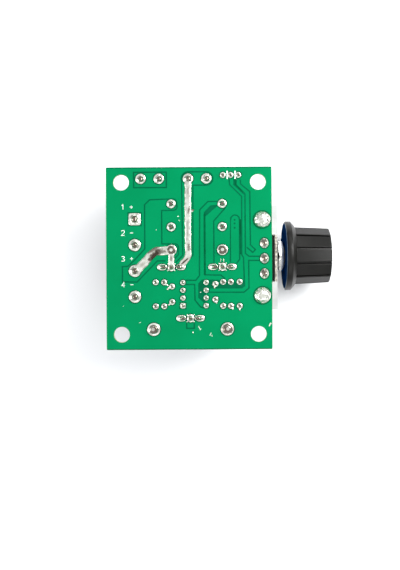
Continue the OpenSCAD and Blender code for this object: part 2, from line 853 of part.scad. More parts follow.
// Legs leave the chip's sides at half its height and turn down through the board
module timer_legs() {
  leg_z = timer_rise + timer_h / 2;
  color("silver") component_side() for (side = [-1, 1], i = [-1.5:1:1.5]) {
    place = [timer_x + side * timer_rows / 2, middle_y + i * timer_pitch];
    post(place, [leg_t, leg_w], -board_t - thin_tip, leg_z);
    post(place, [leg_t, leg_shoulder_w], timer_rise, leg_z);
    inner = (timer_rows / 2 - timer_w / 2 - leg_t / 2);
    post([place[0] - side * (leg_t / 2 + inner / 2), place[1]], [inner, leg_shoulder_w],
         leg_z - leg_t, leg_z);
  }
}

// Places a part that lies along Y above the board at a given X
module axial_body(x, length) {
  component_side() translate([x, middle_y - length / 2, axial_z]) rotate([-90, 0, 0]) children();
}

// A resistor is thicker at its two end caps
module resistors() {
  cap_len = axial_len * resistor_cap_share;
  color("tan") for (x = resistor_xs) axial_body(x, axial_len) {
    cylinder(d = axial_d * resistor_waist_share, h = axial_len);
    for (z = [0, axial_len - cap_len]) translate([0, 0, z])
      cylinder(d = axial_d, h = cap_len);
  }
}

module diodes() {
  color("dimgray") for (x = diode_xs) axial_body(x, diode_len)
    cylinder(d = diode_d, h = diode_len);
}

// Each lead leaves the body's end, turns at an elbow and passes down through the board
module axial_lead(x, length, side) {
  elbow_y = middle_y + side * axial_span / 2;
  run = (axial_span - length) / 2;
  rod([x, elbow_y], axial_lead_d, -board_t - thin_tip, axial_z);
  translate([x, elbow_y, axial_z]) {
    sphere(d = axial_lead_d);
    rotate([90 * side, 0, 0]) cylinder(d = axial_lead_d, h = run);
  }
}

module axial_leads() {
  color("silver") component_side() for (side = [-1, 1]) {
    for (x = resistor_xs) axial_lead(x, axial_len, side);
    for (x = diode_xs) axial_lead(x, diode_len, side);
  }
}

// Upright discs, each with two holes up from its lower edge for the leads
module ceramic_capacitors() {
  color("chocolate") component_side() for (place = disc_places)
    translate([place[0] - disc_t / 2, place[1], disc_z]) rotate([0, 90, 0]) difference() {
      cylinder(d = disc_d, h = disc_t);
      for (side = [-1, 1])
        translate([disc_lead_end, side * disc_span / 2, disc_t / 2]) rotate([0, 90, 0])
          cylinder(d = disc_lead_d + 2 * press_gap, h = disc_d);
    }
}

module ceramic_leads() {
  color("silver") component_side() for (place = disc_leads)
    rod(place, disc_lead_d, -board_t - thin_tip, disc_z - disc_lead_end);
}

// Outline of the bracket's face, from its bend down to its two round corners
module bracket_outline() {
  half = bracket_w / 2;
  r = bracket_corner_r;
  translate([-half, r - bracket_h]) square([bracket_w, bracket_h - r]);
  translate([r - half, -bracket_h]) square([bracket_w - 2 * r, bracket_h]);
  for (side = [-1, 1]) translate([side * (half - r), r - bracket_h]) circle(r = r);
}

// Sheet bent to an angle: a face that carries the potentiometer, and a flange under the board's
// edge with two lugs through the board. The flange is cut away behind the potentiometer.
module pot_bracket() {
  front = face_x + bracket_t;
  top = -board_t;
  flange_x = board_right - flange_back;
  color("gainsboro") {
    difference() {
      translate([face_x, bracket_y, top]) rotate([90, 0, 90])
        linear_extrude(bracket_t) bracket_outline();
      on_shaft(face_x - over) cylinder(d = bushing_d + 2 * press_gap, h = bracket_t + 2 * over);
    }
    difference() {
      slab([flange_x, bracket_y - bracket_w / 2, top - bracket_t],
           [front, bracket_y + bracket_w / 2, top]);
      slab([flange_x - over, pot_row_y - bracket_notch_w / 2, top - bracket_t - over],
           [face_x, pot_row_y + bracket_notch_w / 2, top + over]);
    }
    for (place = lug_leads) post(place, [bracket_t, lug_w], top, lug_tip);
  }
}

// Black moulded base that holds the bushing and, at its square top, backs the wafer
module pot_base() {
  color("dimgray") difference() {
    union() {
      on_shaft(base_back) cylinder(d = pot_d, h = base_t);
      slab([base_back, pot_row_y - base_w / 2, axis_z],
           [face_x, pot_row_y + base_w / 2, axis_z + base_rise]);
    }
    on_shaft(base_back - over) cylinder(d = bushing_d + 2 * press_gap, h = base_t + 2 * over);
    on_shaft(base_back - over) cylinder(d = bushing_flange_d + 2 * press_gap,
                                        h = bushing_flange_t + over);
  }
}

// Threaded bushing that the nut grips and the shaft turns in
module pot_bushing() {
  color("silver") difference() {
    union() {
      on_shaft(base_back) cylinder(d = bushing_flange_d, h = bushing_flange_t);
      on_shaft(base_back) cylinder(d = bushing_d, h = bushing_end - base_back);
    }
    on_shaft(base_back - over) cylinder(d = shaft_d + 2 * run_gap,
                                        h = bushing_end - base_back + 2 * over);
  }
}

// Board of the resistive track, with the three pins on its back
module pot_wafer() {
  half = base_w / 2 - wafer_inset;
  color("saddlebrown") difference() {
    union() {
      on_shaft(wafer_back) cylinder(r = pot_d / 2 - wafer_inset, h = wafer_t);
      slab([wafer_back, pot_row_y - half, axis_z],
           [base_back, pot_row_y + half, axis_z + base_rise - wafer_inset]);
    }
    on_shaft(wafer_back - over) cylinder(d = shaft_d + 2 * rotor_gap, h = wafer_t + 2 * over);
  }
}

// Each pin is riveted to the wafer's back, steps away from it and passes up through the board
module pot_pins() {
  foot_low = axis_z + base_rise - wafer_inset - pot_pin_foot;
  step_z = axis_z + base_rise;
  back = wafer_back - pot_pin_t;
  pin_low = pot_pin_x - pot_pin_t / 2;
  pin_high = pot_pin_x + pot_pin_t / 2;
  color("silver") for (place = pot_leads) translate([0, place[1] + pot_pin_w / 2, 0])
    rotate([90, 0, 0]) linear_extrude(pot_pin_w) polygon([
      [wafer_back, foot_low],
      [wafer_back, step_z],
      [pin_high, step_z + pot_pin_t],
      [pin_high, tip],
      [pin_low, tip],
      [pin_low, step_z],
      [back, step_z - pot_pin_t],
      [back, foot_low]
    ]);
}

// Round can behind the wafer, open at its rim over the feet of the pins
module pot_can() {
  outer = pot_d / 2 - wafer_inset;
  slot_low = base_rise - wafer_inset - pot_pin_foot - part_gap / 2;
  slot_deep = 2 * pot_pin_t;
  color("silver") on_shaft(pot_can_back) difference() {
    cylinder(r = outer, h = pot_can_len);
    translate([0, 0, pot_can_wall]) cylinder(r = outer - pot_can_wall, h = pot_can_len);
    translate([-outer - over, -outer, pot_can_len - slot_deep])
      cube([outer + over - slot_low, 2 * outer, slot_deep + over]);
  }
}

// Disc fixed to the shaft behind the wafer
module pot_rotor() {
  color("white") on_shaft(wafer_back - rotor_gap - rotor_t) difference() {
    cylinder(d = rotor_d, h = rotor_t);
    translate([0, 0, -over]) cylinder(d = shaft_d + 2 * press_gap, h = rotor_t + 2 * over);
  }
}

// Spring contact on the rotor's face, which points at the track
module pot_wiper() {
  color("gold") on_shaft(wafer_back - rotor_gap) difference() {
    translate([-rotor_d / 2, -wiper_w / 2, 0]) cube([rotor_d / 2, wiper_w, wiper_t]);
    translate([0, 0, -over]) cylinder(d = shaft_d + 2 * press_gap, h = wiper_t + 2 * over);
  }
}

module pot_shaft() {
  shaft_back = wafer_back - rotor_gap - rotor_t;
  color("silver") on_shaft(shaft_back) cylinder(d = shaft_d, h = shaft_front - shaft_back);
}

module pot_washer() {
  color("silver") on_shaft(face_x + bracket_t) difference() {
    cylinder(d = washer_d, h = washer_t);
    translate([0, 0, -over]) cylinder(d = bushing_d + 2 * press_gap, h = washer_t + 2 * over);
  }
}

// Hexagon nut, with its outer corners bevelled
module pot_nut() {
  corner_r = nut_af / 2 / cos(30);
  face_r = nut_af / 2 * nut_face_share;
  out_r = corner_r + over;
  color("gainsboro") on_shaft(nut_x) difference() {
    intersection() {
      cylinder(r = corner_r, h = nut_t, $fn = 6);
      rotate_extrude() polygon([
        [0, 0],
        [out_r, 0],
        [out_r, nut_t - nut_bevel * (out_r - face_r) / (corner_r - face_r)],
        [face_r, nut_t],
        [0, nut_t]
      ]);
    }
    translate([0, 0, -over]) cylinder(d = bushing_d + 2 * press_gap, h = nut_t + 2 * over);
  }
}

// Shell of the knob, drawn from its back at z = 0 to its face
module shell_profile() {
  rim = flange_d / 2;
  grip = grip_d / 2;
  end = grip * grip_end_share;
  inner = grip - shell_wall - flute_depth;
  disc_r = rim - core_rim + core_gap;
  disc_z = core_disc_t;
  polygon([
    [disc_r, 0],
    [rim, 0],
    [rim, flange_t],
    [grip + flange_step, flange_t + flange_slope],
    [grip, flange_t + flange_slope],
    [end, knob_len - grip_round],
    [end - grip_round, knob_len],
    [core_face_d / 2 + core_gap, knob_len],
    [core_face_d / 2 + core_gap, knob_len - shell_face_t],
    [inner - shell_wall / 2, knob_len - shell_face_t],
    [inner, disc_z],
    [disc_r, disc_z]
  ]);
}

module knob_shell() {
  grip = grip_d / 2;
  fall = grip * (1 - grip_end_share);
  lean = atan(fall / knob_len);
  color("dimgray") on_shaft(knob_back) difference() {
    rotate_extrude() shell_profile();
    for (i = [0:flute_count - 1]) rotate((i + 1 / 2) * 360 / flute_count)
      translate([grip - flute_depth, -flute_w / 2, flange_t + flange_slope])
        rotate([0, -lean, 0]) cube([flute_depth + over, flute_w, knob_len]);
  }
}

// Coloured core: a disc at the back, a hub on the shaft and a round face at the front
module core_profile() {
  hub = shaft_d / 2 + core_hub_wall;
  face = core_face_d / 2;
  face_z = knob_len + core_proud - core_face_t;
  disc_r = flange_d / 2 - core_rim;
  shaft_z = shaft_front - knob_back;
  bore = shaft_d / 2 + press_gap;
  polygon([
    [bore, 0],
    [disc_r, 0],
    [disc_r, core_disc_t],
    [hub, core_disc_t],
    [hub, face_z],
    [face, face_z],
    [face, knob_len + core_proud],
    [0, knob_len + core_proud],
    [0, shaft_z],
    [bore, shaft_z]
  ]);
}

module pointer_bar(extra) {
  z = knob_len + core_proud - pointer_depth;
  translate([0, -pointer_w / 2, z])
    cube([core_face_d / 2 - pointer_w / 2, pointer_w, pointer_depth + extra]);
}

module knob_core() {
  color("midnightblue") on_shaft(knob_back) difference() {
    rotate_extrude() core_profile();
    mirror([1, 0, 0]) pointer_bar(over);
  }
}

module knob_pointer() {
  color("white") on_shaft(knob_back) mirror([1, 0, 0]) pointer_bar(0);
}

circuit_board();
solder_joints();
tinned_tracks();
terminal_housing();
terminal_contacts();
terminal_clamp(0);  // terminal_clamp_1
terminal_clamp(1);  // terminal_clamp_2
terminal_clamp(2);  // terminal_clamp_3
terminal_clamp(3);  // terminal_clamp_4
terminal_screw(0);  // terminal_screw_1
terminal_screw(1);  // terminal_screw_2
terminal_screw(2);  // terminal_screw_3
terminal_screw(3);  // terminal_screw_4
fuse_clip(0);  // fuse_clip_1
fuse_clip(1);  // fuse_clip_2
fuse_glass();
fuse_caps();
fuse_wire();
header_body();
header_pins();
capacitor_can(0);  // capacitor_can_1
capacitor_can(1);  // capacitor_can_2
capacitor_rolls();
capacitor_seals();
capacitor_leads();
small_sink(0);  // small_sink_1
small_sink(1);  // small_sink_2
large_sink();
sink_pins();
transistor_body(0);  // rectifier_body
transistor_tab(0);  // rectifier_tab
transistor_body(1);  // regulator_body
transistor_tab(1);  // regulator_tab
transistor_body(2);  // mosfet_body
transistor_tab(2);  // mosfet_tab
transistor_leads();
transistor_screws();
insulating_pad();
timer_chip();
timer_legs();
resistors();
diodes();
axial_leads();
ceramic_capacitors();
ceramic_leads();
pot_bracket();
pot_base();
pot_bushing();
pot_wafer();
pot_pins();
pot_can();
pot_rotor();
pot_wiper();
pot_shaft();
pot_washer();
pot_nut();
knob_shell();
knob_core();
knob_pointer();
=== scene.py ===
# %% [markdown]
# # A motor driver board, dressed round its CAD frame
# The board lies with its solder face up, as in the photograph, on the two capacitors and the
# large heat sink below it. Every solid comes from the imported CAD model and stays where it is.
# This lesson adds the finishes, and the pieces that solder, paint and etching leave on a board.

# %% Load the frame
import math

import bmesh
import bpy
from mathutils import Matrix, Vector, noise


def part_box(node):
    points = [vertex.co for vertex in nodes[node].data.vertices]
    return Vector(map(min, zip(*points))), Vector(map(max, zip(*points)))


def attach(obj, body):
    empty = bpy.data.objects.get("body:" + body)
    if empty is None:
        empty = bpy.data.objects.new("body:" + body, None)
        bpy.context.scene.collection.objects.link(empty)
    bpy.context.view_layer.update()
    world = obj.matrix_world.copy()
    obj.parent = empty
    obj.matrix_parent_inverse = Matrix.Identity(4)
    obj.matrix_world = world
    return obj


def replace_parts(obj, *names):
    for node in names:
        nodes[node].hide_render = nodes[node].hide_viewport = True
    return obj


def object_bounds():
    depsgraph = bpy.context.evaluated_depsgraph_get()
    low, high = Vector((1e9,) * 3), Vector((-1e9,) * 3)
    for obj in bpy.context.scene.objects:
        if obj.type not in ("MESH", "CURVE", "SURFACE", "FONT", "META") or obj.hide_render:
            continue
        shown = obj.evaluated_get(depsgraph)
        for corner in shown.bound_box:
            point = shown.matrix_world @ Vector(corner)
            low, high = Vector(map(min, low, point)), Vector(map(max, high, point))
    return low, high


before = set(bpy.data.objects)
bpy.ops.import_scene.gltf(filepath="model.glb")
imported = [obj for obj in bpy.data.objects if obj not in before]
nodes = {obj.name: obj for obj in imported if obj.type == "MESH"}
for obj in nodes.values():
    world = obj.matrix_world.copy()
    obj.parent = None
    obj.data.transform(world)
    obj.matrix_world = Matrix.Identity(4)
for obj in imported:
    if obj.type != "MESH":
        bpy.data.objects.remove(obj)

cad_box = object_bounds()
MM = 0.001
print("CAD box in mm:", [[round(v / MM, 1) for v in corner] for corner in cad_box])

# %% [markdown]
# Colours are written as the sRGB hex values that a colour picker shows. Cycles works in linear
# light, so one function turns each hex value into the linear colour that a socket wants.

# %% Colour
def linear(hex_colour):
    """The linear RGBA of an sRGB hex colour."""
    parts = [int(hex_colour[i:i + 2], 16) / 255 for i in (1, 3, 5)]
    return [v / 12.92 if v <= 0.04045 else ((v + 0.055) / 1.055) ** 2.4 for v in parts] + [1.0]


print("mid grey #808080 in linear light:", round(linear("#808080")[0], 3))

# %% [markdown]
# A material is a small graph. One function adds any kind of node, sets its sockets or its
# properties and joins its inputs to the outputs of other nodes. The others start a surface,
# join an output to one of its sockets, find what feeds a socket, and dress the CAD's nodes.

# %% Nodes and materials
def add_node(material, kind, settings=None, links=None):
    """Adds a node, sets its sockets or properties, and links sockets to other nodes' outputs."""
    tree = material.node_tree
    made = tree.nodes.new(kind)
    for key, value in (settings or {}).items():
        if isinstance(key, int) or key in made.inputs:
            made.inputs[key].default_value = value
        else:
            setattr(made, key, value)
    for key, source in (links or {}).items():
        tree.links.new(source, made.inputs[key])
    return made


def new_material(name, **sockets):
    """A Principled surface named for what it is, with these values on its sockets."""
    material = bpy.data.materials.new(name)
    material.use_nodes = True
    material.node_tree.nodes.clear()
    settings = {key.replace("_", " "): value for key, value in sockets.items()}
    shader = add_node(material, "ShaderNodeBsdfPrincipled", settings)
    add_node(material, "ShaderNodeOutputMaterial", {}, {"Surface": shader.outputs["BSDF"]})
    material["shader"] = shader.name
    return material


def feed(material, socket, source):
    """Joins an output to a socket of the material's surface."""
    shader = material.node_tree.nodes[material["shader"]]
    material.node_tree.links.new(source, shader.inputs[socket])


def fed_by(material, socket):
    """The output that feeds a socket of the material's surface."""
    return material.node_tree.nodes[material["shader"]].inputs[socket].links[0].from_socket


def dress(material, names):
    """Gives CAD nodes a better material."""
    for name in names:
        nodes[name].data.materials.clear()
        nodes[name].data.materials.append(material)


print("CAD nodes to dress:", len(nodes))

# %% [markdown]
# Most real surfaces differ from a flat colour in three ways: the tone drifts over centimetres,
# the gloss changes in smaller patches, and a fine grain breaks up the highlight. This function
# makes such a material. Its patterns follow the object's own coordinates, so they stay on the
# surface, and each has its size in millimetres.

# %% Tone, gloss and grain
def finish(name, tones, patch, rough, grain, depth, on=(), stretch=(1, 1, 1), edge=0.0,
           **sockets):
    """A material whose tone and roughness drift between two values in patches, under a grain
    of real depth. on names the CAD nodes that get it, stretch draws the patterns out along an
    axis, and edge is the radius to which sharp edges shade as if they were rounded."""
    middle = [(low + high) / 2 for low, high in zip(linear(tones[0]), linear(tones[1]))]
    material = new_material(name, Base_Color=middle, Roughness=sum(rough) / 2, **sockets)
    place = add_node(material, "ShaderNodeTexCoord")
    lay = add_node(material, "ShaderNodeMapping", {"Scale": stretch},
                   {"Vector": place.outputs["Object"]})
    drift = add_node(material, "ShaderNodeTexNoise", {"Scale": 1 / (patch * MM), "Detail": 4.0},
                     {"Vector": lay.outputs["Vector"]})
    if tones[0] != tones[1]:
        tone = add_node(material, "ShaderNodeValToRGB", {}, {"Fac": drift.outputs["Fac"]})
        for stop, position, colour in zip(tone.color_ramp.elements, (0.35, 0.65), tones):
            stop.position = position
            stop.color = linear(colour)
        feed(material, "Base Color", tone.outputs["Color"])
    gloss = add_node(material, "ShaderNodeMapRange", {"To Min": rough[0], "To Max": rough[1]},
                     {"Value": drift.outputs["Fac"]})
    feed(material, "Roughness", gloss.outputs["Result"])
    fine = add_node(material, "ShaderNodeTexNoise", {"Scale": 1 / (grain * MM), "Detail": 3.0},
                    {"Vector": lay.outputs["Vector"]})
    bump = add_node(material, "ShaderNodeBump", {"Strength": 1.0, "Distance": depth * MM},
                    {"Height": fine.outputs["Fac"]})
    if edge:
        worn = add_node(material, "ShaderNodeBevel", {"Radius": edge * MM})
        material.node_tree.links.new(worn.outputs["Normal"], bump.inputs["Normal"])
    feed(material, "Normal", bump.outputs["Normal"])
    dress(material, on)
    return material


print("materials before the first finish:", len(bpy.data.materials))

# %% [markdown]
# The camera stands straight above the board. Its height comes from the perspective of the
# capacitors and the knob: about 265 mm over the solder face. The picture shows 187.3 mm of
# the board's plane from top to bottom, and the board stands a little above its middle, so the
# camera keeps looking straight down and the frame is shifted instead.

# %% Camera
photo_rows, photo_columns = 570, 400
mm_per_pixel = 0.32855
camera_height = 265.0
camera_place = (3.32, 1.5)
frame_middle_y = -8.8
board_turn = 0.36
sensor = 36.0
rows_mm = photo_rows * mm_per_pixel

scene = bpy.context.scene
camera_data = bpy.data.cameras.new("camera_above")
camera_data.sensor_width = sensor
camera_data.lens = sensor * camera_height / rows_mm
camera_data.shift_y = (frame_middle_y - camera_place[1]) / rows_mm
camera_data.clip_start = 10 * MM
camera_data.clip_end = 20.0
camera = bpy.data.objects.new("camera_above", camera_data)
scene.collection.objects.link(camera)
camera.location = (camera_place[0] * MM, camera_place[1] * MM, camera_height * MM)
camera.rotation_euler = (0, 0, -math.radians(board_turn))
scene.camera = camera
print("lens:", round(camera_data.lens, 1), "mm; picture:", photo_columns, "x", photo_rows)

# %% [markdown]
# The board was photographed on white paper. A wide matt sheet is the floor, just under the
# lowest solid. The picture keeps plain display colours, so that white stays white.

# %% Floor
scene.view_settings.view_transform = "Standard"
scene.view_settings.look = "None"
scene.view_settings.exposure = 0.0
scene.view_settings.gamma = 1.0

floor_z = cad_box[0][2] / MM
floor_gap = 0.02
floor_half = 4000.0
floor_mesh = bpy.data.meshes.new("floor_sheet")
floor_mesh.from_pydata([Vector((x * floor_half, y * floor_half, floor_z - floor_gap)) * MM
                        for x, y in ((-1, -1), (1, -1), (1, 1), (-1, 1))], [], [(0, 1, 2, 3)])
floor = bpy.data.objects.new("floor_sheet", floor_mesh)
scene.collection.objects.link(floor)
# Uncoated paper: white, matt, with a tone that hardly drifts.
floor_mesh.materials.append(
    finish("white_paper", ("#f9f9fa", "#fcfcfc"), 60.0, (0.88, 0.95), 0.6, 0.01))
print("floor at z", round(floor_z, 2), "mm")

# %% [markdown]
# The light is a large soft lamp overhead. The sky is bright above, like a softbox, darker
# halfway down and pale again at the horizon: flat solder reflects the bright part and the
# flanks of each fillet the darker one, which draws their shapes. Four weak lamps add the
# direction: one on the knob's side, three far off.

# %% Sky and lamps
sky = bpy.data.worlds.new("studio_sky")
sky.use_nodes = True
sky.node_tree.nodes.clear()
toward = add_node(sky, "ShaderNodeTexCoord")
rise = add_node(sky, "ShaderNodeSeparateXYZ", {}, {"Vector": toward.outputs["Generated"]})
glow = add_node(sky, "ShaderNodeValToRGB", {}, {"Fac": rise.outputs["Z"]})
sky_tones = [(0.0, "#d9dbde"), (0.38, "#d4d6da"), (0.50, "#8b8d91"), (0.68, "#8f9195"),
             (0.80, "#f6f8fb")]
while len(glow.color_ramp.elements) < len(sky_tones):
    glow.color_ramp.elements.new(0.5)
for stop, (height, tone) in zip(glow.color_ramp.elements, sky_tones):
    stop.position = height
    stop.color = linear(tone)
lit = add_node(sky, "ShaderNodeBackground", {"Strength": 1.1}, {"Color": glow.outputs["Color"]})
add_node(sky, "ShaderNodeOutputWorld", {}, {"Surface": lit.outputs["Background"]})
scene.world = sky

softboxes = {
    "softbox_key": ((170, 90, 165), (150, 150), 0.75),
    "softbox_left": ((-480, -120, 240), (300, 400), 1.35),
    "softbox_near": ((60, -420, 380), (400, 260), 0.5),
    "softbox_far": ((60, 480, 290), (260, 160), 0.35),
}
for name, (place, size, power) in softboxes.items():
    lamp = bpy.data.lights.new(name, "AREA")
    lamp.shape = "RECTANGLE"
    lamp.size, lamp.size_y = size[0] * MM, size[1] * MM
    lamp.energy = power
    holder = bpy.data.objects.new(name, lamp)
    scene.collection.objects.link(holder)
    holder.location = Vector(place) * MM
    holder.rotation_euler = (-holder.location).to_track_quat("-Z", "Y").to_euler()
print("lamps that face the board:", len(softboxes))

# %% [markdown]
# Pieces are made from lists of corners in millimetres. Most of them are skins over rows of
# corners, like hoops on a barrel. One function joins such rows, another turns the result into
# an object and lets it ride on its body.

# %% Making a piece
def skin(rows, around=True, closed=False):
    """Corners and faces over rows of corners. around joins each row's end to its start, and
    closed joins the last row to the first."""
    count = len(rows[0])
    corners = [corner for row in rows for corner in row]
    faces = []
    for i in range(len(rows) if closed else len(rows) - 1):
        a, b = i * count, (i + 1) % len(rows) * count
        faces += [[a + k, a + (k + 1) % count, b + (k + 1) % count, b + k]
                  for k in range(count if around else count - 1)]
    return corners, faces


def turns(count):
    """Angles that divide a full turn evenly."""
    return [2 * math.pi * k / count for k in range(count)]


def turn_outward(piece):
    """Closes the points that a ring shrinks to, and turns every face of a piece outward."""
    work = bmesh.new()
    work.from_mesh(piece.data)
    bmesh.ops.remove_doubles(work, verts=work.verts, dist=1e-7)
    bmesh.ops.recalc_face_normals(work, faces=work.faces)
    work.to_mesh(piece.data)
    work.free()


def add_piece(name, parts, material, body="board", flat=False):
    """One object from (corners, faces) pairs in millimetres. A corner's fourth number, where
    it has one, is its shade, which the material can read. Flat artwork keeps its faces as they
    are drawn; any other piece is smooth, and its faces are turned outward."""
    corners, faces = [], []
    for part_corners, part_faces in parts:
        start = len(corners)
        corners += part_corners
        faces += [[start + i for i in face] for face in part_faces]
    mesh = bpy.data.meshes.new(name)
    mesh.from_pydata([Vector(c[:3]) * MM for c in corners], [], faces)
    mesh.update()
    mesh.polygons.foreach_set("use_smooth", [not flat] * len(mesh.polygons))
    if any(len(c) > 3 for c in corners):
        shade = mesh.attributes.new("shade", "FLOAT", "POINT")
        shade.data.foreach_set("value", [c[3] if len(c) > 3 else 0.0 for c in corners])
    mesh.materials.append(material)
    piece = bpy.data.objects.new(name, mesh)
    scene.collection.objects.link(piece)
    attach(piece, body)
    if not flat:
        turn_outward(piece)
    return piece


print("a skin over three rings of four corners has",
      len(skin([[(0, 0, z)] * 4 for z in range(3)])[1]), "faces")

# %% [markdown]
# The CAD says where things are. One function gives a node's box in millimetres. Another takes
# a node apart into its separate solids, such as the joints of the solder, and measures each.

# %% Reading the CAD
def box_of(name):
    """A CAD node's lowest and highest corner, in millimetres."""
    return [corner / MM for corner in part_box(name)]


def islands_of(name):
    """Place, width and extent of each separate solid of a CAD node, in millimetres."""
    work = bmesh.new()
    work.from_mesh(nodes[name].data)
    bmesh.ops.remove_doubles(work, verts=work.verts, dist=1e-6)
    left = set(work.verts)
    found = []
    while left:
        stack = [left.pop()]
        members = list(stack)
        while stack:
            for edge in stack.pop().link_edges:
                for other in edge.verts:
                    if other in left:
                        left.remove(other)
                        stack.append(other)
                        members.append(other)
        low = [min(v.co[i] for v in members) / MM for i in range(3)]
        high = [max(v.co[i] for v in members) / MM for i in range(3)]
        found.append({"x": (low[0] + high[0]) / 2, "y": (low[1] + high[1]) / 2,
                      "width": high[0] - low[0], "low": low, "high": high})
    work.free()
    return sorted(found, key=lambda one: (round(one["x"], 1), round(one["y"], 1)))


joints = islands_of("solder_joints")
print("solder joints in the CAD:", len(joints))

# %% [markdown]
# ## The laminate and its solder mask
# The board is glass-fibre epoxy, 1.6 mm thick, with copper on both faces and a green liquid
# solder mask printed and baked over it. Over copper the mask looks bright, over bare laminate
# it looks dark. The cut edges and the hole walls have no mask, so the material tells the faces
# from the edges by their normals, and shows tan laminate where a face doesn't look up or down.

# %% Solder mask
edge_tan = "#bdbf9b"
# Baked solder mask: a saturated, satin green that hardly mirrors.
solder_mask = finish("green_solder_mask_on_glass_epoxy", ("#007e4c", "#008451"), 16.0,
                     (0.26, 0.36), 0.9, 0.006, ["circuit_board"], Specular_IOR_Level=0.03)
facing = add_node(solder_mask, "ShaderNodeNewGeometry")
split = add_node(solder_mask, "ShaderNodeSeparateXYZ", {},
                 {"Vector": facing.outputs["True Normal"]})
level = add_node(solder_mask, "ShaderNodeMath", {"operation": "ABSOLUTE"}, {0: split.outputs["Z"]})
is_face = add_node(solder_mask, "ShaderNodeMath", {"operation": "GREATER_THAN", 1: 0.5},
                   {0: level.outputs["Value"]})
masked = add_node(solder_mask, "ShaderNodeMix", {"data_type": "RGBA", 6: linear(edge_tan)},
                  {0: is_face.outputs["Value"], 7: fed_by(solder_mask, "Base Color")})
feed(solder_mask, "Base Color", masked.outputs[2])
print("board's faces green, its edges", edge_tan)

# %% [markdown]
# ## The artwork
# Where the copper was etched away, the mask lies on the laminate and looks dark green. The
# gaps are drawn as thin flat bands that follow the outlines of the copper areas, 0.4 mm wide.
# They could be a texture, but as geometry they stay sharp in every view. Each kind of mark has
# a height of its own, a few hundredths of a millimetre, so that none lies in another's plane.

# %% Bands, plates and arcs
SUNK = -0.02
AREA_TOP, GAP_TOP, RING_TOP, INK_TOP = 0.02, 0.03, 0.04, 0.06


def side_of(before, here, after):
    """The mitred sideways step at a corner of a line."""
    steps = []
    for start, end in ((before, here), (here, after)):
        run = Vector((end[0] - start[0], end[1] - start[1]))
        if run.length > 0:
            steps.append(Vector((-run.y, run.x)).normalized())
    mitre = (steps[0] + steps[-1]).normalized()
    return mitre / max(0.4, mitre.dot(steps[0]))


def band(line, width, top, closed=False):
    """A flat band of even width along a line."""
    rows = []
    for i, here in enumerate(line):
        before = line[i - 1] if closed or i > 0 else here
        after = line[(i + 1) % len(line)] if closed or i < len(line) - 1 else here
        side = side_of(before, here, after) * width / 2
        rows.append([(here[0] + sign * side.x, here[1] + sign * side.y, z)
                     for sign, z in ((1, SUNK), (1, top), (-1, top), (-1, SUNK))])
    corners, faces = skin(rows, around=False, closed=closed)
    if not closed:
        last = len(corners) - 4
        faces += [[0, 3, 2, 1], [last, last + 1, last + 2, last + 3]]
    return corners, faces


def plate(outline, top, low=SUNK):
    """A flat plate over a closed outline."""
    count = len(outline)
    corners = [(x, y, top) for x, y in outline] + [(x, y, low) for x, y in outline]
    faces = [list(range(count))]
    faces += [[(i + 1) % count, i, count + i, count + (i + 1) % count] for i in range(count)]
    return corners, faces


def arc(x, y, radius, start, end, count=9):
    """Points on an arc, from one angle to another in degrees."""
    angles = [math.radians(start + (end - start) * i / (count - 1)) for i in range(count)]
    return [(x + radius * math.cos(a), y + radius * math.sin(a)) for a in angles]


print("a gap's band is", round(GAP_TOP - SUNK, 2), "mm thick, and", GAP_TOP, "mm of it shows")

# %% [markdown]
# The outlines run as on the real artwork: the net of the fuse, the net of the third terminal
# with its wide finger, the lines between the chip, the regulator and the potentiometer,
# and a box round the first fuse clip.

# %% Gaps between the copper areas
gap_width = 0.42
fuse_xs, fuse_y = (-0.5, 5.5), 26.2
fuse_net = (
    [(-4.6, -1.3), (-2.35, 1.0)]
    + arc(fuse_xs[0], fuse_y, 2.2, 200, 90)
    + arc(fuse_xs[1], fuse_y, 2.2, 90, -90)
    + [(1.1, 24.0), (1.0, 1.1), (-1.5, -2.0), (-4.0, -3.9)]
)
motor_net = (
    [(-8.1, -0.8), (-10.7, -0.8), (-17.4, -7.7), (-22.2, -7.6), (-22.2, -2.6), (-20.4, -2.5),
     (-18.2, -0.5), (-14.8, 3.2), (-14.8, 17.7), (-13.1, 19.3)]
    + arc(-5.6, 18.2, 1.35, 90, 10, 5) + arc(-5.4, 17.1, 1.3, -10, -90, 5)
    + [(-9.2, 15.75), (-9.2, 4.8)]
    + arc(-4.9, 3.6, 1.15, 90, 0, 5) + [(-3.75, 1.3), (-5.1, -0.2)]
)
clip_box = [(-18.35, 28.35), (-7.6, 28.35), (-7.6, 23.3), (-18.35, 23.3)]
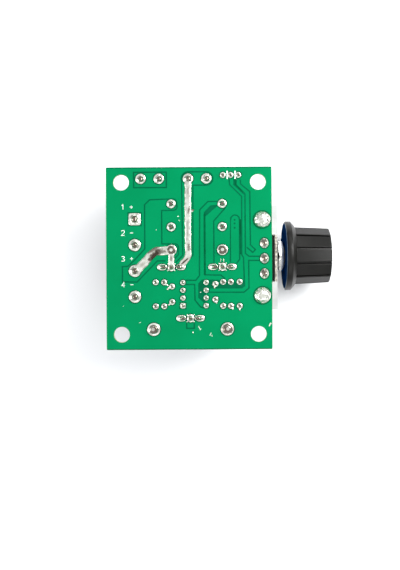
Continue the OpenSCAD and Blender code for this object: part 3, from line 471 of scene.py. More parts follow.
gap_lines = [
    fuse_net,
    motor_net,
    clip_box,
    [(9.2, 18.65), (6.0, 18.6), (3.3, 15.9), (3.1, -5.7), (1.9, -7.25), (-1.4, -7.2)],
    [(9.4, 17.35), (7.0, 17.15), (4.9, 15.0), (4.85, -5.45), (10.2, -5.6), (11.5, -6.7)],
    [(12.05, 17.4), (11.5, 16.3), (7.9, 12.2), (7.9, -1.5)],
    [(13.3, -1.3), (13.4, 12.8)] + arc(14.9, 12.7, 1.45, 180, 0, 7)
    + [(16.35, -0.4), (15.3, -1.8)],
    [(13.0, 26.0), (13.2, 24.1), (17.1, 20.2), (17.05, 1.0), (17.6, 0.2), (17.9, -9.4)],
    [(14.6, 25.7), (14.6, 24.1), (18.2, 21.0), (18.25, 1.5), (19.4, 0.55), (23.1, 0.5)],
    [(16.7, 25.7), (16.8, 24.3), (19.8, 21.8), (19.9, 4.3), (21.5, 2.75), (20.7, 1.8),
     (18.7, 3.5)],
    [(5.7, -11.2), (17.7, -11.25), (19.35, -9.9), (19.3, -0.8), (23.1, -0.85)],
    [(-1.4, -8.6), (1.5, -8.6), (1.6, -13.8), (3.4, -16.0), (5.0, -16.45)],
    [(-1.2, -21.1), (-1.2, -23.0), (1.3, -23.0), (1.3, -21.1)],
]
gap_parts = [band(line, gap_width, GAP_TOP, closed=line is clip_box) for line in gap_lines]
print("gap lines:", len(gap_parts))

# %% [markdown]
# Three wider places have no copper at all: the bed of the chip's pins, a wedge where two lines
# part, and the strip between the two tracks under the header. The copper also ends a little
# before the board's upper and lower edges. Three gaps get painted shade for their deep sides,
# which makes them darker still.

# %% Areas without copper
bare_areas = [
    [(2.7, -8.3), (3.9, -7.0), (9.3, -7.1), (10.8, -8.2), (17.6, -7.6), (17.9, -9.3),
     (17.1, -10.0), (6.3, -10.0), (5.3, -11.3), (4.9, -15.0), (2.7, -13.0)],
    [(6.7, 17.2), (9.3, 17.3), (5.2, 13.7), (4.9, 13.6), (4.9, 15.2)],
    [(14.4, 26.0), (15.6, 26.0), (15.5, 24.1), (18.35, 21.3), (18.2, 20.8), (17.8, 20.8),
     (14.5, 24.0)],
]
edge_line_y, edge_line_xs, edge_line_width = 29.8, (-27.4, 26.9), 0.3
via_x, via_ys, via_r = 14.75, (12.55, 11.35, 9.95), 0.32
area_parts = [plate(outline, AREA_TOP) for outline in bare_areas]
area_parts += [band([(x, y) for x in edge_line_xs], edge_line_width, AREA_TOP)
               for y in (edge_line_y, -edge_line_y)]
area_parts += [plate(arc(via_x, y, via_r, 0, 340, 18), AREA_TOP) for y in via_ys]
deep_lines = [
    ([(4.88, 14.6), (4.88, -5.4)], 0.6),
    ([(16.6, 12.7), (16.65, 1.2)], 0.6),
    ([(15.1, 25.6), (15.1, 24.2), (17.6, 21.6)], 0.5),
]
deep_parts = [band(line, width, RING_TOP) for line, width in deep_lines]
print("bare areas:", len(area_parts), "deep gaps:", len(deep_parts))

# %% [markdown]
# The mask over bare laminate is the same paint on a darker ground. It gets a material of its
# own, because it has less sheen and shows a trace of the glass cloth below.

# %% Mask on bare laminate
# Mask on laminate: a dark, dull green that drifts in tone with the cloth below.
bare_mask = finish("green_mask_on_bare_laminate", ("#005736", "#00603e"), 5.0, (0.32, 0.42),
                   0.5, 0.006, Specular_IOR_Level=0.03)
# The same in a deep gap: darker still, with painted shade for its sides.
gap_shade_mask = finish("green_mask_with_painted_gap_shade", ("#004a2a", "#005a36"), 3.0, (0.38, 0.46),
                   0.4, 0.006, Specular_IOR_Level=0.02)
for name, drawn, mask in (("etched_gaps", gap_parts, bare_mask),
                          ("bare_areas", area_parts, bare_mask),
                          ("deep_gaps_painted_shade", deep_parts, gap_shade_mask)):
    piece = add_piece(name, drawn, mask, flat=True)
    print(name, "faces:", len(piece.data.polygons))

# %% [markdown]
# ## Solder
# Each lead stands in a fillet of solder: wide and thin where it wets the pad, and drawn up
# steeply at the lead. Wave-soldered joints are bright at the rim and mottled at
# the top, where the cut lead shows. The CAD keeps one plain mound per joint, so the places
# and sizes are read from there, and each fillet is rebuilt as a finer shape on the same spot.

# %% Fillets
def wobble(x, y, scale, seed):
    """A smooth random number between about -1 and 1, the same in every run."""
    return noise.noise(Vector((x / scale, y / scale, seed * 7.31)))


def fillet(x, y, reach, height, neck, seed, square=2.0, crinkle=0.08, curve=2.0, rings=14,
           spokes=48, stain=0.5, dark=0.45, lean=(0.0, 0.0), glint=(0.0, 0.0)):
    """A solder fillet from a rim on the pad to a lead in its middle. stain is where, on the
    way inward, the flux film begins, and dark how deep its brown gets; lean moves the top
    sideways; glint paints a highlight by keeping the film off one side."""
    rim_z, lowest, tip_rise = 0.09, 0.06, 0.04
    rim_waves, crinkle_size = 0.03, 0.7
    film_rise, film_spots, spot_size, painted_glint_strength = 2.4, 1.1, 0.35, 1.6
    rows = []
    for i in range(rings + 1):
        inward = i / rings
        share = 1 - inward * (1 - neck / min(reach))
        row = []
        for angle in turns(spokes):
            cos, sin = math.cos(angle), math.sin(angle)
            rim = (abs(cos) ** square + abs(sin) ** square) ** (-1 / square)
            rim *= 1 + rim_waves * wobble(5 * cos, 5 * sin, 2.0, seed)
            px = x + reach[0] * rim * share * cos + lean[0] * inward
            py = y + reach[1] * rim * share * sin + lean[1] * inward
            z = rim_z + (height - rim_z) * inward ** curve
            z += crinkle * wobble(px, py, crinkle_size, seed) * min(1.0, 2 * inward)
            film_and_painted_light = (inward - stain) * film_rise
            film_and_painted_light += film_spots * wobble(px, py, spot_size, seed + 2)
            # Painted highlight: the side that glint points to is kept clean of the film.
            film_and_painted_light -= painted_glint_strength * share * (cos * glint[0] + sin * glint[1])
            row.append((px, py, max(z, lowest) if i else SUNK, dark * min(1.0, max(0.0, film_and_painted_light))))
        rows.append(row)
    corners, faces = skin(rows)
    tip, ring = len(corners), len(corners) - spokes
    corners.append((x + lean[0], y + lean[1], height + tip_rise, dark))
    faces += [[ring + k, ring + (k + 1) % spokes, tip] for k in range(spokes)]
    return corners, faces


print("corners of one fillet:", len(fillet(0, 0, [1.0, 1.0], 1.0, 0.3, seed=0)[0]))

# %% [markdown]
# The kind of joint follows from its width in the CAD: the terminals have the largest pads for
# leads, and the chip has the smallest. Each kind has its own rise from the pad to the lead, its
# own crinkle and its own share of flux film, which one small table holds.

# %% Joints by kind
transistor_width = 2.1
kinds = {
    5.6: dict(kind="lug", neck=1.5, crinkle=0.27, curve=0.7, dark=0.0, rings=22, spokes=72),
    4.0: dict(kind="terminal", neck=0.6, crinkle=0.12, curve=2.8, stain=0.5, dark=0.4),
    3.9: dict(kind="sink", neck=1.1, crinkle=0.03, curve=3.0, stain=0.5),
    3.4: dict(kind="fuse", neck=0.5, crinkle=0.12, curve=2.8, stain=0.55, lean=(0.2, -0.15)),
    # The pot's pins get a painted highlight on one side.
    3.0: dict(kind="pot", neck=0.5, crinkle=0.06, curve=1.2, stain=0.35, glint=(0.5, -0.6)),
    2.9: dict(kind="can", neck=0.45, crinkle=0.10, curve=2.8, stain=0.6, dark=0.4),
    transistor_width: dict(kind="transistor", neck=0.35, crinkle=0.07, curve=2.2, stain=0.65,
                           dark=0.35),
    1.9: dict(kind="fine", neck=0.34, crinkle=0.03, curve=3.4, stain=0.8, dark=0.6),
    1.7: dict(kind="chip", neck=0.30, crinkle=0.03, curve=3.4, stain=0.8, dark=0.6),
}
print("kinds of joint:", len(kinds))

# %% [markdown]
# The pad of the first terminal is square, as is that of the chip's first pin. The outer leads
# of each transistor have pads drawn outward, and the middle one's pad is tied to the copper
# round it by four short spokes, whose solder makes it look like a star. Round each pad runs a
# clearing, where the mask lies on bare laminate.

# %% Fillets on their pads
outer_pad, middle_pad, outer_step, outer_lean = [1.55, 1.0], [1.25, 1.35], 0.58, 0.5
upper_sink_pad, lower_sink_pad, pot_pad = [1.75, 1.75], [2.15, 2.15], [1.45, 1.7]
first_terminal_above, first_pin_below, square_rim = 12, -15, 7.0
clearing, clearing_width = 0.14, 0.36
fillet_parts, ring_parts = [], []
for seed, joint in enumerate(joints):
    size = min(kinds, key=lambda d: abs(d - joint["width"]))
    look = dict(kinds[size])
    kind = look.pop("kind")
    x, y = joint["x"], joint["y"]
    reach = [size / 2, size / 2]
    if kind == "transistor":
        row = sorted(j["x"] for j in joints if abs(j["y"] - y) < 0.5
                     and abs(j["width"] - transistor_width) < 0.05 and abs(j["x"] - x) < 6)
        outward = row.index(x) - 1
        reach = outer_pad if outward else middle_pad
        if outward:
            look.update(lean=(-outer_lean * outward, 0.0), square=2.8)
        x += outer_step * outward
    if kind == "sink":
        reach = upper_sink_pad if y > 0 else lower_sink_pad
        if y < 0 < x:
            look.update(stain=0.12, dark=0.34)
    if kind == "pot":
        reach = pot_pad
        look.update(lean=(0.15, -0.15))
    if (kind == "terminal" and y > first_terminal_above
            or kind == "chip" and y < first_pin_below and x < 0):
        look["square"] = square_rim
    joint.update(kind=kind, x=x, reach=reach)
    fillet_parts.append(fillet(x, y, reach, joint["high"][2], seed=seed, **look))
    rim = [(x + px * (reach[0] + clearing), y + py * (reach[1] + clearing))
           for px, py in arc(0, 0, 1, 0, 350, 36)]
    if look.get("square") == square_rim:
        far = reach[0] + clearing
        rim = [(x + px * far, y + py * far) for px, py in ((1, 1), (-1, 1), (-1, -1), (1, -1))]
    ring_parts.append(band(rim, clearing_width, RING_TOP, closed=True))
print("joints:", len(joints), sorted({j["kind"] for j in joints}))

# %% [markdown]
# Solder that drained away as the board left the wave froze into short tails and drops beside
# some leads. Each is a small rounded lump, placed by its lead and pointing away from it. The
# spokes of the star pads and two fine whiskers over one of them are lumps too.

# %% Tails and spokes
def lump(x, y, length, width, height, turn, seed, levels=8, spokes=12):
    """A drop of solder lying on the board, longer than wide, at an angle in degrees."""
    cos, sin = math.cos(math.radians(turn)), math.sin(math.radians(turn))
    rows = []
    for i in range(levels + 1):
        level = math.pi / 2 * i / levels
        row = []
        for angle in turns(spokes):
            along = length / 2 * math.cos(level) * math.cos(angle)
            across = width / 2 * math.cos(level) * math.sin(angle)
            across *= 1 + 0.25 * wobble(along, across, 0.5, seed)
            row.append((x + along * cos - across * sin, y + along * sin + across * cos,
                        height * math.sin(level) if i else SUNK))
        rows.append(row)
    return skin(rows)


def lumps(places, height):
    """Lumps of one height from rows of x, y, length, width and angle."""
    return [lump(x, y, length, width, height, turn, seed)
            for seed, (x, y, length, width, turn) in enumerate(places)]


tails = [(-7.2, -9.9, 1.2, 0.75, 235), (-6.6, -14.9, 1.6, 0.7, 225), (8.1, -9.4, 1.2, 0.6, 265),
         (8.6, -14.4, 1.2, 0.75, 290), (13.9, -16.5, 1.2, 0.7, 300), (16.3, -16.9, 1.0, 0.6, 270),
         (-7.6, -8.7, 1.1, 0.6, 330), (0.9, -24.4, 0.7, 0.5, 280)]
tail_height = 0.28
tail_parts = lumps(tails, tail_height)
spoke_reach, spoke_turns = 1.45, (45, 135, 225, 315)
spoke_length, spoke_width, spoke_height = 0.8, 0.4, 0.16
for joint in [j for j in joints if j["reach"] == middle_pad]:
    for turn in spoke_turns:
        away = math.radians(turn)
        tail_parts.append(lump(joint["x"] + spoke_reach * math.cos(away),
                               joint["y"] + spoke_reach * math.sin(away),
                               spoke_length, spoke_width, spoke_height, turn, turn))
whisker_y, whisker_length, whisker_width, whisker_height = -0.8, 1.5, 0.24, 0.14
for x, turn in ((10.1, 80), (11.1, 98)):
    tail_parts.append(lump(x, whisker_y, whisker_length, whisker_width, whisker_height, turn, 5))
print("tails, drops and spokes:", len(tail_parts))

# %% [markdown]
# Solder is an alloy of tin. It keeps a metal's own colour in its reflections, a cool light
# grey, and its gloss changes in patches where it froze in ripples. Flux leaves a thin brown
# film near the leads, which mottles the tops. The film's place is written into each fillet's
# corners as its shade, and the material blends to brown there. The same shade also carries
# painted light: a painted glint on the pot's pins, a painted dark reflection on the tinned
# bands and painted shade in the rings round the sink pins.

# %% Solder metal
# Wave solder: a bright, uneven mirror.
solder = finish("wave_solder_tin", ("#cdcdc1", "#eff1e5"), 1.4, (0.12, 0.3), 0.5, 0.012,
                Metallic=1.0)
# The shade read here is flux film on the fillets, and painted glint, reflection and shade.
stain = add_node(solder, "ShaderNodeAttribute", {"attribute_name": "shade"})
film_and_painted_light = add_node(solder, "ShaderNodeValToRGB", {}, {"Fac": stain.outputs["Fac"]})
film_and_painted_light.color_ramp.elements[0].color = linear("#aea89a")
film_and_painted_light.color_ramp.elements[1].color = linear("#4a4038")
covers = add_node(solder, "ShaderNodeMapRange", {"From Max": 0.35}, {"Value": stain.outputs["Fac"]})
filmed_and_painted = add_node(solder, "ShaderNodeMix", {"data_type": "RGBA"},
                  {0: covers.outputs["Result"], 6: fed_by(solder, "Base Color"),
                   7: film_and_painted_light.outputs["Color"]})
feed(solder, "Base Color", filmed_and_painted.outputs[2])
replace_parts(add_piece("solder_fillets", fillet_parts + tail_parts, solder),
            "solder_joints")
add_piece("pad_clearings", ring_parts, bare_mask, flat=True)
print("fillets:", len(fillet_parts), "clearings:", len(ring_parts))

# %% [markdown]
# Two copper tracks carry the motor's whole current, so their mask was left open and the wave
# covered them with solder. They are ragged, domed bands with ripples along them. Where the wide
# one bends, its surface is smooth as a mirror, and the dark part of the studio that it would
# show there is painted on as a dark reflection.

# %% Tinned bands
def smooth_path(points, radius, step=0.2):
    """Points a step apart along a line whose corners are rounded."""
    rounded = [Vector(points[0])]
    for before, here, after in zip(points, points[1:], points[2:]):
        here = Vector(here)
        into = (Vector(before) - here).normalized() * radius
        out = (Vector(after) - here).normalized() * radius
        for i in range(7):
            t = i / 6
            rounded.append((1 - t) ** 2 * (here + into) + 2 * t * (1 - t) * here
                           + t ** 2 * (here + out))
    rounded.append(Vector(points[-1]))
    path = [rounded[0]]
    for here in rounded[1:]:
        for i in range(int((here - path[-1]).length / step)):
            path.append(path[-1] + (here - path[-1]).normalized() * step)
    return path


def painted_reflection_at(p, patches, seed):
    """How dark the painted reflection is at a point, under patches of x, y, length, width, turn in
    degrees and darkness.
    """
    shade = 0.0
    for px, py, length, breadth, turn, dark in patches:
        away = p - Vector((px, py))
        cos, sin = math.cos(math.radians(turn)), math.sin(math.radians(turn))
        along = (away.x * cos + away.y * sin) / length * 2
        aside = (away.y * cos - away.x * sin) / breadth * 2
        near = 1.25 - math.hypot(along, aside) + 0.5 * wobble(p.x, p.y, 0.6, seed)
        shade = max(shade, dark * min(1.0, max(0.0, near * 1.6)))
    return shade


def tinned_band(points, width, height, seed, radius=0.8, across=15, patches=()):
    """A ragged, domed band of solder along a track, which narrows toward its ends."""
    step, lowest, end_share, end_length = 0.2, 0.06, 0.45, 1.2
    side_waves, wave_size, ripple, ripple_size = 0.12, 1.4, 0.2, 1.8
    path = smooth_path(points, radius, step)
    rows = []
    for i, here in enumerate(path):
        ahead = path[min(i + 1, len(path) - 1)] - path[max(i - 1, 0)]
        side = Vector((-ahead.y, ahead.x)).normalized()
        fade = min(1.0, end_share + min(i, len(path) - 1 - i) * step / end_length)
        row = []
        for k in range(across):
            u = 2 * k / (across - 1) - 1
            edge_seed = seed + (3 if u > 0 else 0)
            ragged = 1 + side_waves * wobble(here.x, here.y, wave_size, edge_seed)
            p = here + side * u * width / 2 * ragged * fade
            swell = 1 - ripple + ripple * wobble(p.x, p.y, ripple_size, seed)
            z = height * (1 - u ** 4) ** 0.5 * swell
            row.append((p.x, p.y, max(z, lowest) if 0 < k < across - 1 else SUNK,
                        painted_reflection_at(p, patches, seed + 5)))
        rows.append(row)
    return skin(rows, around=False)


print("points along 10 mm of track:", len(smooth_path([(0, 0), (10, 0)], 0.8)))

# %% [markdown]
# One band runs straight down from the fuse, and the wide one comes from the third terminal and
# is tied to a transistor's lead by a short one. A small drip hangs from the side of the first.
# The patches paint a dark reflection of the studio on each band, strong at the bends and faint
# where a band looks dull.

# %% Tracks under solder
# Each band's patches are painted dark reflection.
track_parts = [
    tinned_band([(-0.5, 26.2), (-0.6, 13.0), (-0.55, 0.6), (-3.1, -2.7)], 2.15, 0.34, 1,
                patches=[(-0.6, 22.0, 2.5, 0.8, 90, 0.25), (-0.2, 15.8, 2.6, 0.9, 75, 0.4),
                         (-0.7, 9.0, 6.0, 0.6, 90, 0.22), (-0.4, 3.8, 2.6, 0.9, 90, 0.35),
                         (-1.75, -1.0, 3.3, 0.5, 40, 1.0)]),
    tinned_band([(-18.1, -4.6), (-11.6, 2.35), (-6.1, 2.6)], 2.8, 0.40, 2, radius=1.0,
                patches=[(-11.5, 1.1, 5.4, 2.2, 47, 1.0), (-11.9, 2.9, 4.4, 1.0, 30, 0.5),
                         (-8.9, 2.2, 2.2, 1.0, 5, 0.4), (-15.5, -1.9, 3.0, 1.0, 47, 0.15)]),
    tinned_band([(-6.1, 2.0), (-6.15, -2.7)], 2.0, 0.34, 3,
                patches=[(-6.2, 0.0, 2.0, 0.7, 90, 0.35)]),
    tinned_band([(0.2, 15.2), (1.5, 16.0)], 0.9, 0.2, 4, radius=0.1,
                patches=[(1.2, 15.8, 0.8, 0.4, 20, 0.7)]),
]
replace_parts(add_piece("tinned_bands", track_parts, solder), "tinned_tracks")
print("tinned bands:", len(track_parts))

# %% [markdown]
# The round pins of the small heat sinks stand in rings of solder: a bright domed end, a dark
# ring of painted shade where the solder sank round the pin, and a pale rim. The end and its
# dark ring are laid over the fillet's top.

# %% Sink pin ends
def dome(x, y, radius, low, height, shade, levels=7, spokes=32):
    """A round cap."""
    rows = []
    for i in range(levels + 1):
        level = math.pi / 2 * i / levels
        reach = radius * math.cos(level)
        rows.append([(x + reach * math.cos(angle), y + reach * math.sin(angle),
                      low + height * math.sin(level), shade) for angle in turns(spokes)])
    return skin(rows)


ring_low, ring_height = 0.66, 0.1
end_sunk, end_height = 0.25, 0.3
# Each ring's shade is painted shade for the sunken gap round its pin.
pin_looks = {
    "upper": dict(ring=1.3, painted_ring_shade=0.85, end=0.98, dull=0.0, step=(-0.05, 0.05)),
    "lower_left": dict(ring=1.3, painted_ring_shade=0.75, end=1.08, dull=0.2, step=(-0.2, 0.1)),
    "lower_right": dict(ring=1.5, painted_ring_shade=0.7, end=1.05, dull=0.08, step=(0.1, 0.15)),
}
end_parts = []
for pin in islands_of("sink_pins"):
    side = "lower_left" if pin["x"] < 0 else "lower_right"
    look = pin_looks["upper" if pin["y"] > 0 else side]
    x, y = pin["x"] + look["step"][0], pin["y"] + look["step"][1]
    end_parts.append(dome(x, y, look["ring"], ring_low, ring_height, look["painted_ring_shade"]))
    end_parts.append(dome(x, y, look["end"], pin["high"][2] - end_sunk, end_height, look["dull"]))
add_piece("sink_pin_ends", end_parts, solder)
print("caps and rings on the sinks' pins:", len(end_parts))

# %% [markdown]
# Board makers print pin numbers and signs in white epoxy ink. Each mark is a plain stroke
# figure, a number for the terminal and the sign of its pole, as wide lines of ink. Two bars
# part the header's pins.

# %% Ink marks
ink_stroke, bar_stroke = 0.2, 0.42
figure_h = 1.6
figures = {
    "1": [[(0.1, 0.8), (0.35, 1.0), (0.35, 0.0)]],
    "2": [[(0.0, 0.8), (0.15, 1.0), (0.5, 1.0), (0.62, 0.8), (0.6, 0.6), (0.0, 0.0), (0.65, 0.0)]],
    "3": [[(0.0, 0.9), (0.2, 1.0), (0.5, 0.95), (0.58, 0.75), (0.3, 0.55), (0.6, 0.35),
           (0.55, 0.1), (0.25, 0.0), (0.0, 0.1)]],
    "4": [[(0.45, 0.0), (0.45, 1.0), (0.0, 0.3), (0.65, 0.3)]],
    "+": [[(0.0, 0.5), (0.6, 0.5)], [(0.3, 0.2), (0.3, 0.8)]],
    "-": [[(0.0, 0.5), (0.65, 0.5)]],
}
mark_x, mark_above, mark_step = -22.45, 3.2, 2.8
terminals = sorted((j for j in joints if j["kind"] == "terminal"), key=lambda j: -j["y"])
bar_xs, bar_ys = (12.4, 15.0), (28.65, 26.0)
ink_parts = []
for joint, mark in zip(terminals, ("1+", "2-", "3+", "4-")):
    for place, figure in enumerate(mark):
        for stroke in figures[figure]:
            line = [(mark_x + place * mark_step + px * figure_h,
                     joint["y"] + mark_above + py * figure_h) for px, py in stroke]
            ink_parts.append(band(line, ink_stroke, INK_TOP))
ink_parts += [band([(x, y) for y in bar_ys], bar_stroke, INK_TOP) for x in bar_xs]
# Epoxy ink: a chalky white that the green shines through a little.
ink = finish("white_epoxy_ink", ("#dfeee4", "#f8fbf8"), 1.2, (0.5, 0.65), 0.2, 0.01)
add_piece("ink_marks", ink_parts, ink, flat=True)
print("ink strokes:", len(ink_parts))

# %% [markdown]
# A finished board is never spotless. White crumbs of dried flux lie by some joints, and a drop
# of solder has caught on the edge where the board left its frame.

# %% Flux crumbs and a caught drop
specks = [(2.9, -22.8, 1.3, 0.22, 118), (3.3, -23.4, 0.7, 0.2, 60), (6.7, -24.8, 0.9, 0.18, 65),
          (7.1, -25.5, 0.7, 0.16, 110), (6.5, -25.3, 0.5, 0.16, 20), (-3.85, 13.8, 0.6, 0.22, 10),
          (-3.45, 12.4, 0.6, 0.14, 140), (-11.0, 9.4, 0.35, 0.2, 60), (-22.0, -15.6, 0.3, 0.16, 0),
          (-16.5, -21.0, 0.8, 0.12, 20), (1.7, -19.0, 0.4, 0.2, 45), (3.4, -11.2, 0.5, 0.18, 60)]
speck_height = 0.05
# Dried rosin: a pale, dull crust.
flux = finish("dried_rosin_flux", ("#d5e8d8", "#f6faf2"), 0.5, (0.5, 0.7), 0.15, 0.02)
add_piece("flux_crumbs", lumps(specks, speck_height), flux)
add_piece("edge_solder_nick", [lump(26.3, -21.7, 1.0, 0.7, 0.22, 60, 3),
                               lump(26.0, -22.3, 0.6, 0.4, 0.12, 100, 4)], solder)
print("crumbs:", len(specks))

# %% [markdown]
# ## Finishes of the CAD parts
# The other parts keep their CAD shapes. Each finish starts from what the part is made of and
# how its surface was made. First the leads and pins: copper wire dipped in tin. Flux has
# browned their cut ends, so the material turns brown above the board by height alone.

# %% Leads and pins
cut_from, cut_full = 0.55, 0.8
# Tinned copper: silvery, with dull streaks where it was bent and heated.
bright_tin = finish(
    "bright_tinned_copper_wire", ("#9d968e", "#dcd8d2"), 0.6, (0.22, 0.45), 0.2, 0.02,
    ["capacitor_leads", "axial_leads", "ceramic_leads", "transistor_leads", "timer_legs",
     "header_pins", "terminal_contacts", "pot_pins", "sink_pins", "fuse_clip_1", "fuse_clip_2"],
    Metallic=1.0)
where = add_node(bright_tin, "ShaderNodeNewGeometry")
height = add_node(bright_tin, "ShaderNodeSeparateXYZ", {}, {"Vector": where.outputs["Position"]})
cut_end = add_node(bright_tin, "ShaderNodeMapRange",
                   {"From Min": cut_from * MM, "From Max": cut_full * MM},
                   {"Value": height.outputs["Z"]})
browned = add_node(bright_tin, "ShaderNodeMix", {"data_type": "RGBA", 7: linear("#6a5f56")},
                   {0: cut_end.outputs["Result"], 6: fed_by(bright_tin, "Base Color")})
feed(bright_tin, "Base Color", browned.outputs[2])
print("leads brown above", cut_full, "mm")

# %% [markdown]
# The other metals are plated, cast or drawn through a die, and the washer is nearly black.
# Each keeps a metal's full reflection, and differs in tone, in gloss and in the direction of
# its grain. The bushing and the shaft are darkened with painted shade.

# %% Plated, cast and extruded metals
clamp_names = [f"terminal_{part}_{i}" for part in ("clamp", "screw") for i in range(1, 5)]
# Nickel plate on steel: warm grey, with long soft highlights.
finish("nickel_plated_steel", ("#bcbab3", "#d2d1cb"), 3.0, (0.22, 0.36), 0.25, 0.008,
       clamp_names + ["transistor_screws", "fuse_caps", "rectifier_tab", "regulator_tab",
                      "mosfet_tab", "pot_can", "fuse_wire"], stretch=(1, 1, 6), Metallic=1.0)
# Nickelled brass: the same gloss with a trace of yellow.
finish("nickelled_brass", ("#c2b58d", "#d8d0b4"), 2.5, (0.24, 0.38), 0.3, 0.01,
       ["pot_wiper"], Metallic=1.0)
# Washer: nearly black, with a faint metal sheen.
finish("nearly_black_washer_steel", ("#1f1e1d", "#363432"), 1.0, (0.38, 0.55), 0.2, 0.01,
       ["pot_washer"], Metallic=1.0)
# Zinc grey metal, dull and slightly grainy, darkened with painted shade for the hollow between the
# nut and the knob.
finish("zinc_grey_with_painted_shade", ("#383837", "#5a5a58"), 1.5, (0.42, 0.6), 0.25, 0.02,
       ["pot_bushing", "pot_shaft"], Metallic=1.0)
# Extruded aluminium: pale and satin, its grain drawn out along the fins by the die.
finish("extruded_aluminium", ("#b7babd", "#cdd0d2"), 4.0, (0.32, 0.46), 0.35, 0.012,
       ["small_sink_1", "small_sink_2", "large_sink"], stretch=(1, 1, 0.06), Metallic=1.0)
# Tinned sheet: a smooth, pale grey that blurs what it mirrors.
finish("tinned_steel_sheet", ("#bec0be", "#cdcfcd"), 5.0, (0.38, 0.52), 0.8, 0.006,
       ["pot_bracket"], Metallic=0.9)
print("nickelled parts of the terminals:", len(clamp_names))

# %% [markdown]
# The bracket was punched from tinned sheet, so the edge in its notch is torn steel. It is a thin
# strip laid on the edge, with a rough outline, because its speckle is what the eye sees beside
# the black body of the potentiometer.

# %% Punched edge
notch_half, notch_middle = 7.7, -0.15
strip_top, strip_low_z = -1.56, -1.62
strip_steps, tear = 60, 0.06
bracket_front = box_of("pot_bracket")[1].x
strip_back, strip_front = bracket_front - 0.78, bracket_front - 0.05
outline = [(strip_back, notch_middle + notch_half), (strip_back, notch_middle - notch_half)]
for i in range(strip_steps + 1):
    y = notch_middle - notch_half + 2 * notch_half * i / strip_steps
    outline.append((strip_front - tear * abs(wobble(y, 0, 0.4, 9)), y))
# Torn steel: bright and dark specks, no even gloss.
torn_steel = finish("torn_steel_edge", ("#5f5a50", "#cdc8bb"), 0.9, (0.45, 0.65), 0.25, 0.02,
                    Metallic=0.8)
turn_outward(add_piece("punched_edge", [plate(outline, strip_top, strip_low_z)], torn_steel,
                       flat=True))
print("strip on the bracket's edge:", 2 * notch_half, "mm long")

# %% [markdown]
# The nut is turned from hexagon bar, and a cone cuts its corners at both faces. Each point
# takes the smaller of the hexagon's and the cone's radius, which gives the curved edges that
# a real nut has. Its flats are plated bright, while the turned front is dull and shows a
# painted blue grey reflection, so each corner carries a shade, 0 on the flats and 1 on the
# front, which the material reads.

# %% Nut
nut_low, nut_high = box_of("pot_nut")
nut_middle = (nut_low + nut_high) / 2
nut_size = nut_high - nut_low
corner_up = nut_size.z > nut_size.y
corner_r = max(nut_size.y, nut_size.z) / 2
flat_r = corner_r * math.cos(math.radians(30))
nut_bore, nut_face_r = 3.55, 4.5
front_cut, back_cut, cut_steps = 0.85, 0.2, 4
front_from = nut_high.x - front_cut
nut_profile = [(nut_low.x, flat_r + 0.2), (nut_low.x + back_cut, corner_r),
               (front_from - 0.04, corner_r)]
for i in range(cut_steps + 1):
    nut_profile.append((front_from + front_cut * i / cut_steps,
                        corner_r - (corner_r - nut_face_r) * i / cut_steps))
nut_profile += [(nut_high.x, nut_bore), (nut_low.x, nut_bore)]
nut_rows = []
for x, cone in nut_profile:
    row = []
    for turn in turns(96):
        aside = (turn + (0 if corner_up else math.pi / 6)) % (math.pi / 3) - math.pi / 6
        reach = min(cone, flat_r / math.cos(abs(aside)))
        row.append((x, nut_middle.y + reach * math.sin(turn),
                    nut_middle.z + reach * math.cos(turn), 1.0 if x > front_from - 0.02 else 0.0))
    nut_rows.append(row)
print("nut corner to corner:", round(2 * corner_r, 1), "mm; corner up:", corner_up)

# %% [markdown]
# The nut's material starts as bright nickel. Where the shade is 1 its gloss goes, and most
# of its metal reflection gives way to a painted reflection in an even blue grey.

# %% Nut's finish
# Nickel plate: flats as bright as mirrors round a dull front in a painted blue grey reflection.
nut_nickel = finish("bright_nickel_with_painted_front", ("#d8d6cf", "#eeede8"), 3.0, (0.1, 0.18),
                    0.25, 0.004, Metallic=1.0)
turned = add_node(nut_nickel, "ShaderNodeAttribute", {"attribute_name": "shade"})
dull_gloss = add_node(nut_nickel, "ShaderNodeMath", {"operation": "MULTIPLY_ADD", 1: 0.4},
                      {0: turned.outputs["Fac"], 2: fed_by(nut_nickel, "Roughness")})
front_metallic_for_paint = add_node(nut_nickel, "ShaderNodeMath", {"operation": "MULTIPLY_ADD", 1: -0.8, 2: 1.0},
                      {0: turned.outputs["Fac"]})
# Painted reflection: the front turns an even blue grey and loses most of its metal.
front_painted_reflection = add_node(nut_nickel, "ShaderNodeMix", {"data_type": "RGBA", 7: linear("#ccd4de")},
                      {0: turned.outputs["Fac"], 6: fed_by(nut_nickel, "Base Color")})
feed(nut_nickel, "Base Color", front_painted_reflection.outputs[2])
feed(nut_nickel, "Roughness", dull_gloss.outputs["Value"])
feed(nut_nickel, "Metallic", front_metallic_for_paint.outputs["Value"])
nut = add_piece("chamfered_nut", [skin(nut_rows, closed=True)], nut_nickel)
nut.data.set_sharp_from_angle(angle=math.radians(20))
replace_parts(nut, "pot_nut")
print("nut's faces:", len(nut.data.polygons))

# %% [markdown]
# The mouldings are black thermoplastics and epoxies. They look alike until light grazes them:
# the resin bodies are matt and pitted, the terminal strip is smoother, and the capacitors'
# shrunk sleeves are glossy.

# %% Mouldings, resin, sleeve and rubber
# Injection-moulded polyester: an even satin black.
finish("black_polyester_moulding", ("#161717", "#222323"), 6.0, (0.38, 0.5), 0.25, 0.015,
       ["terminal_housing", "header_body", "pot_base"], IOR=1.5)
# Transfer-moulded epoxy: dark grey and finely pitted.
finish("moulded_epoxy_resin", ("#1d1d1f", "#2a2a2d"), 2.0, (0.5, 0.65), 0.12, 0.02,
       ["rectifier_body", "regulator_body", "mosfet_body", "timer_chip", "diodes"], IOR=1.55)
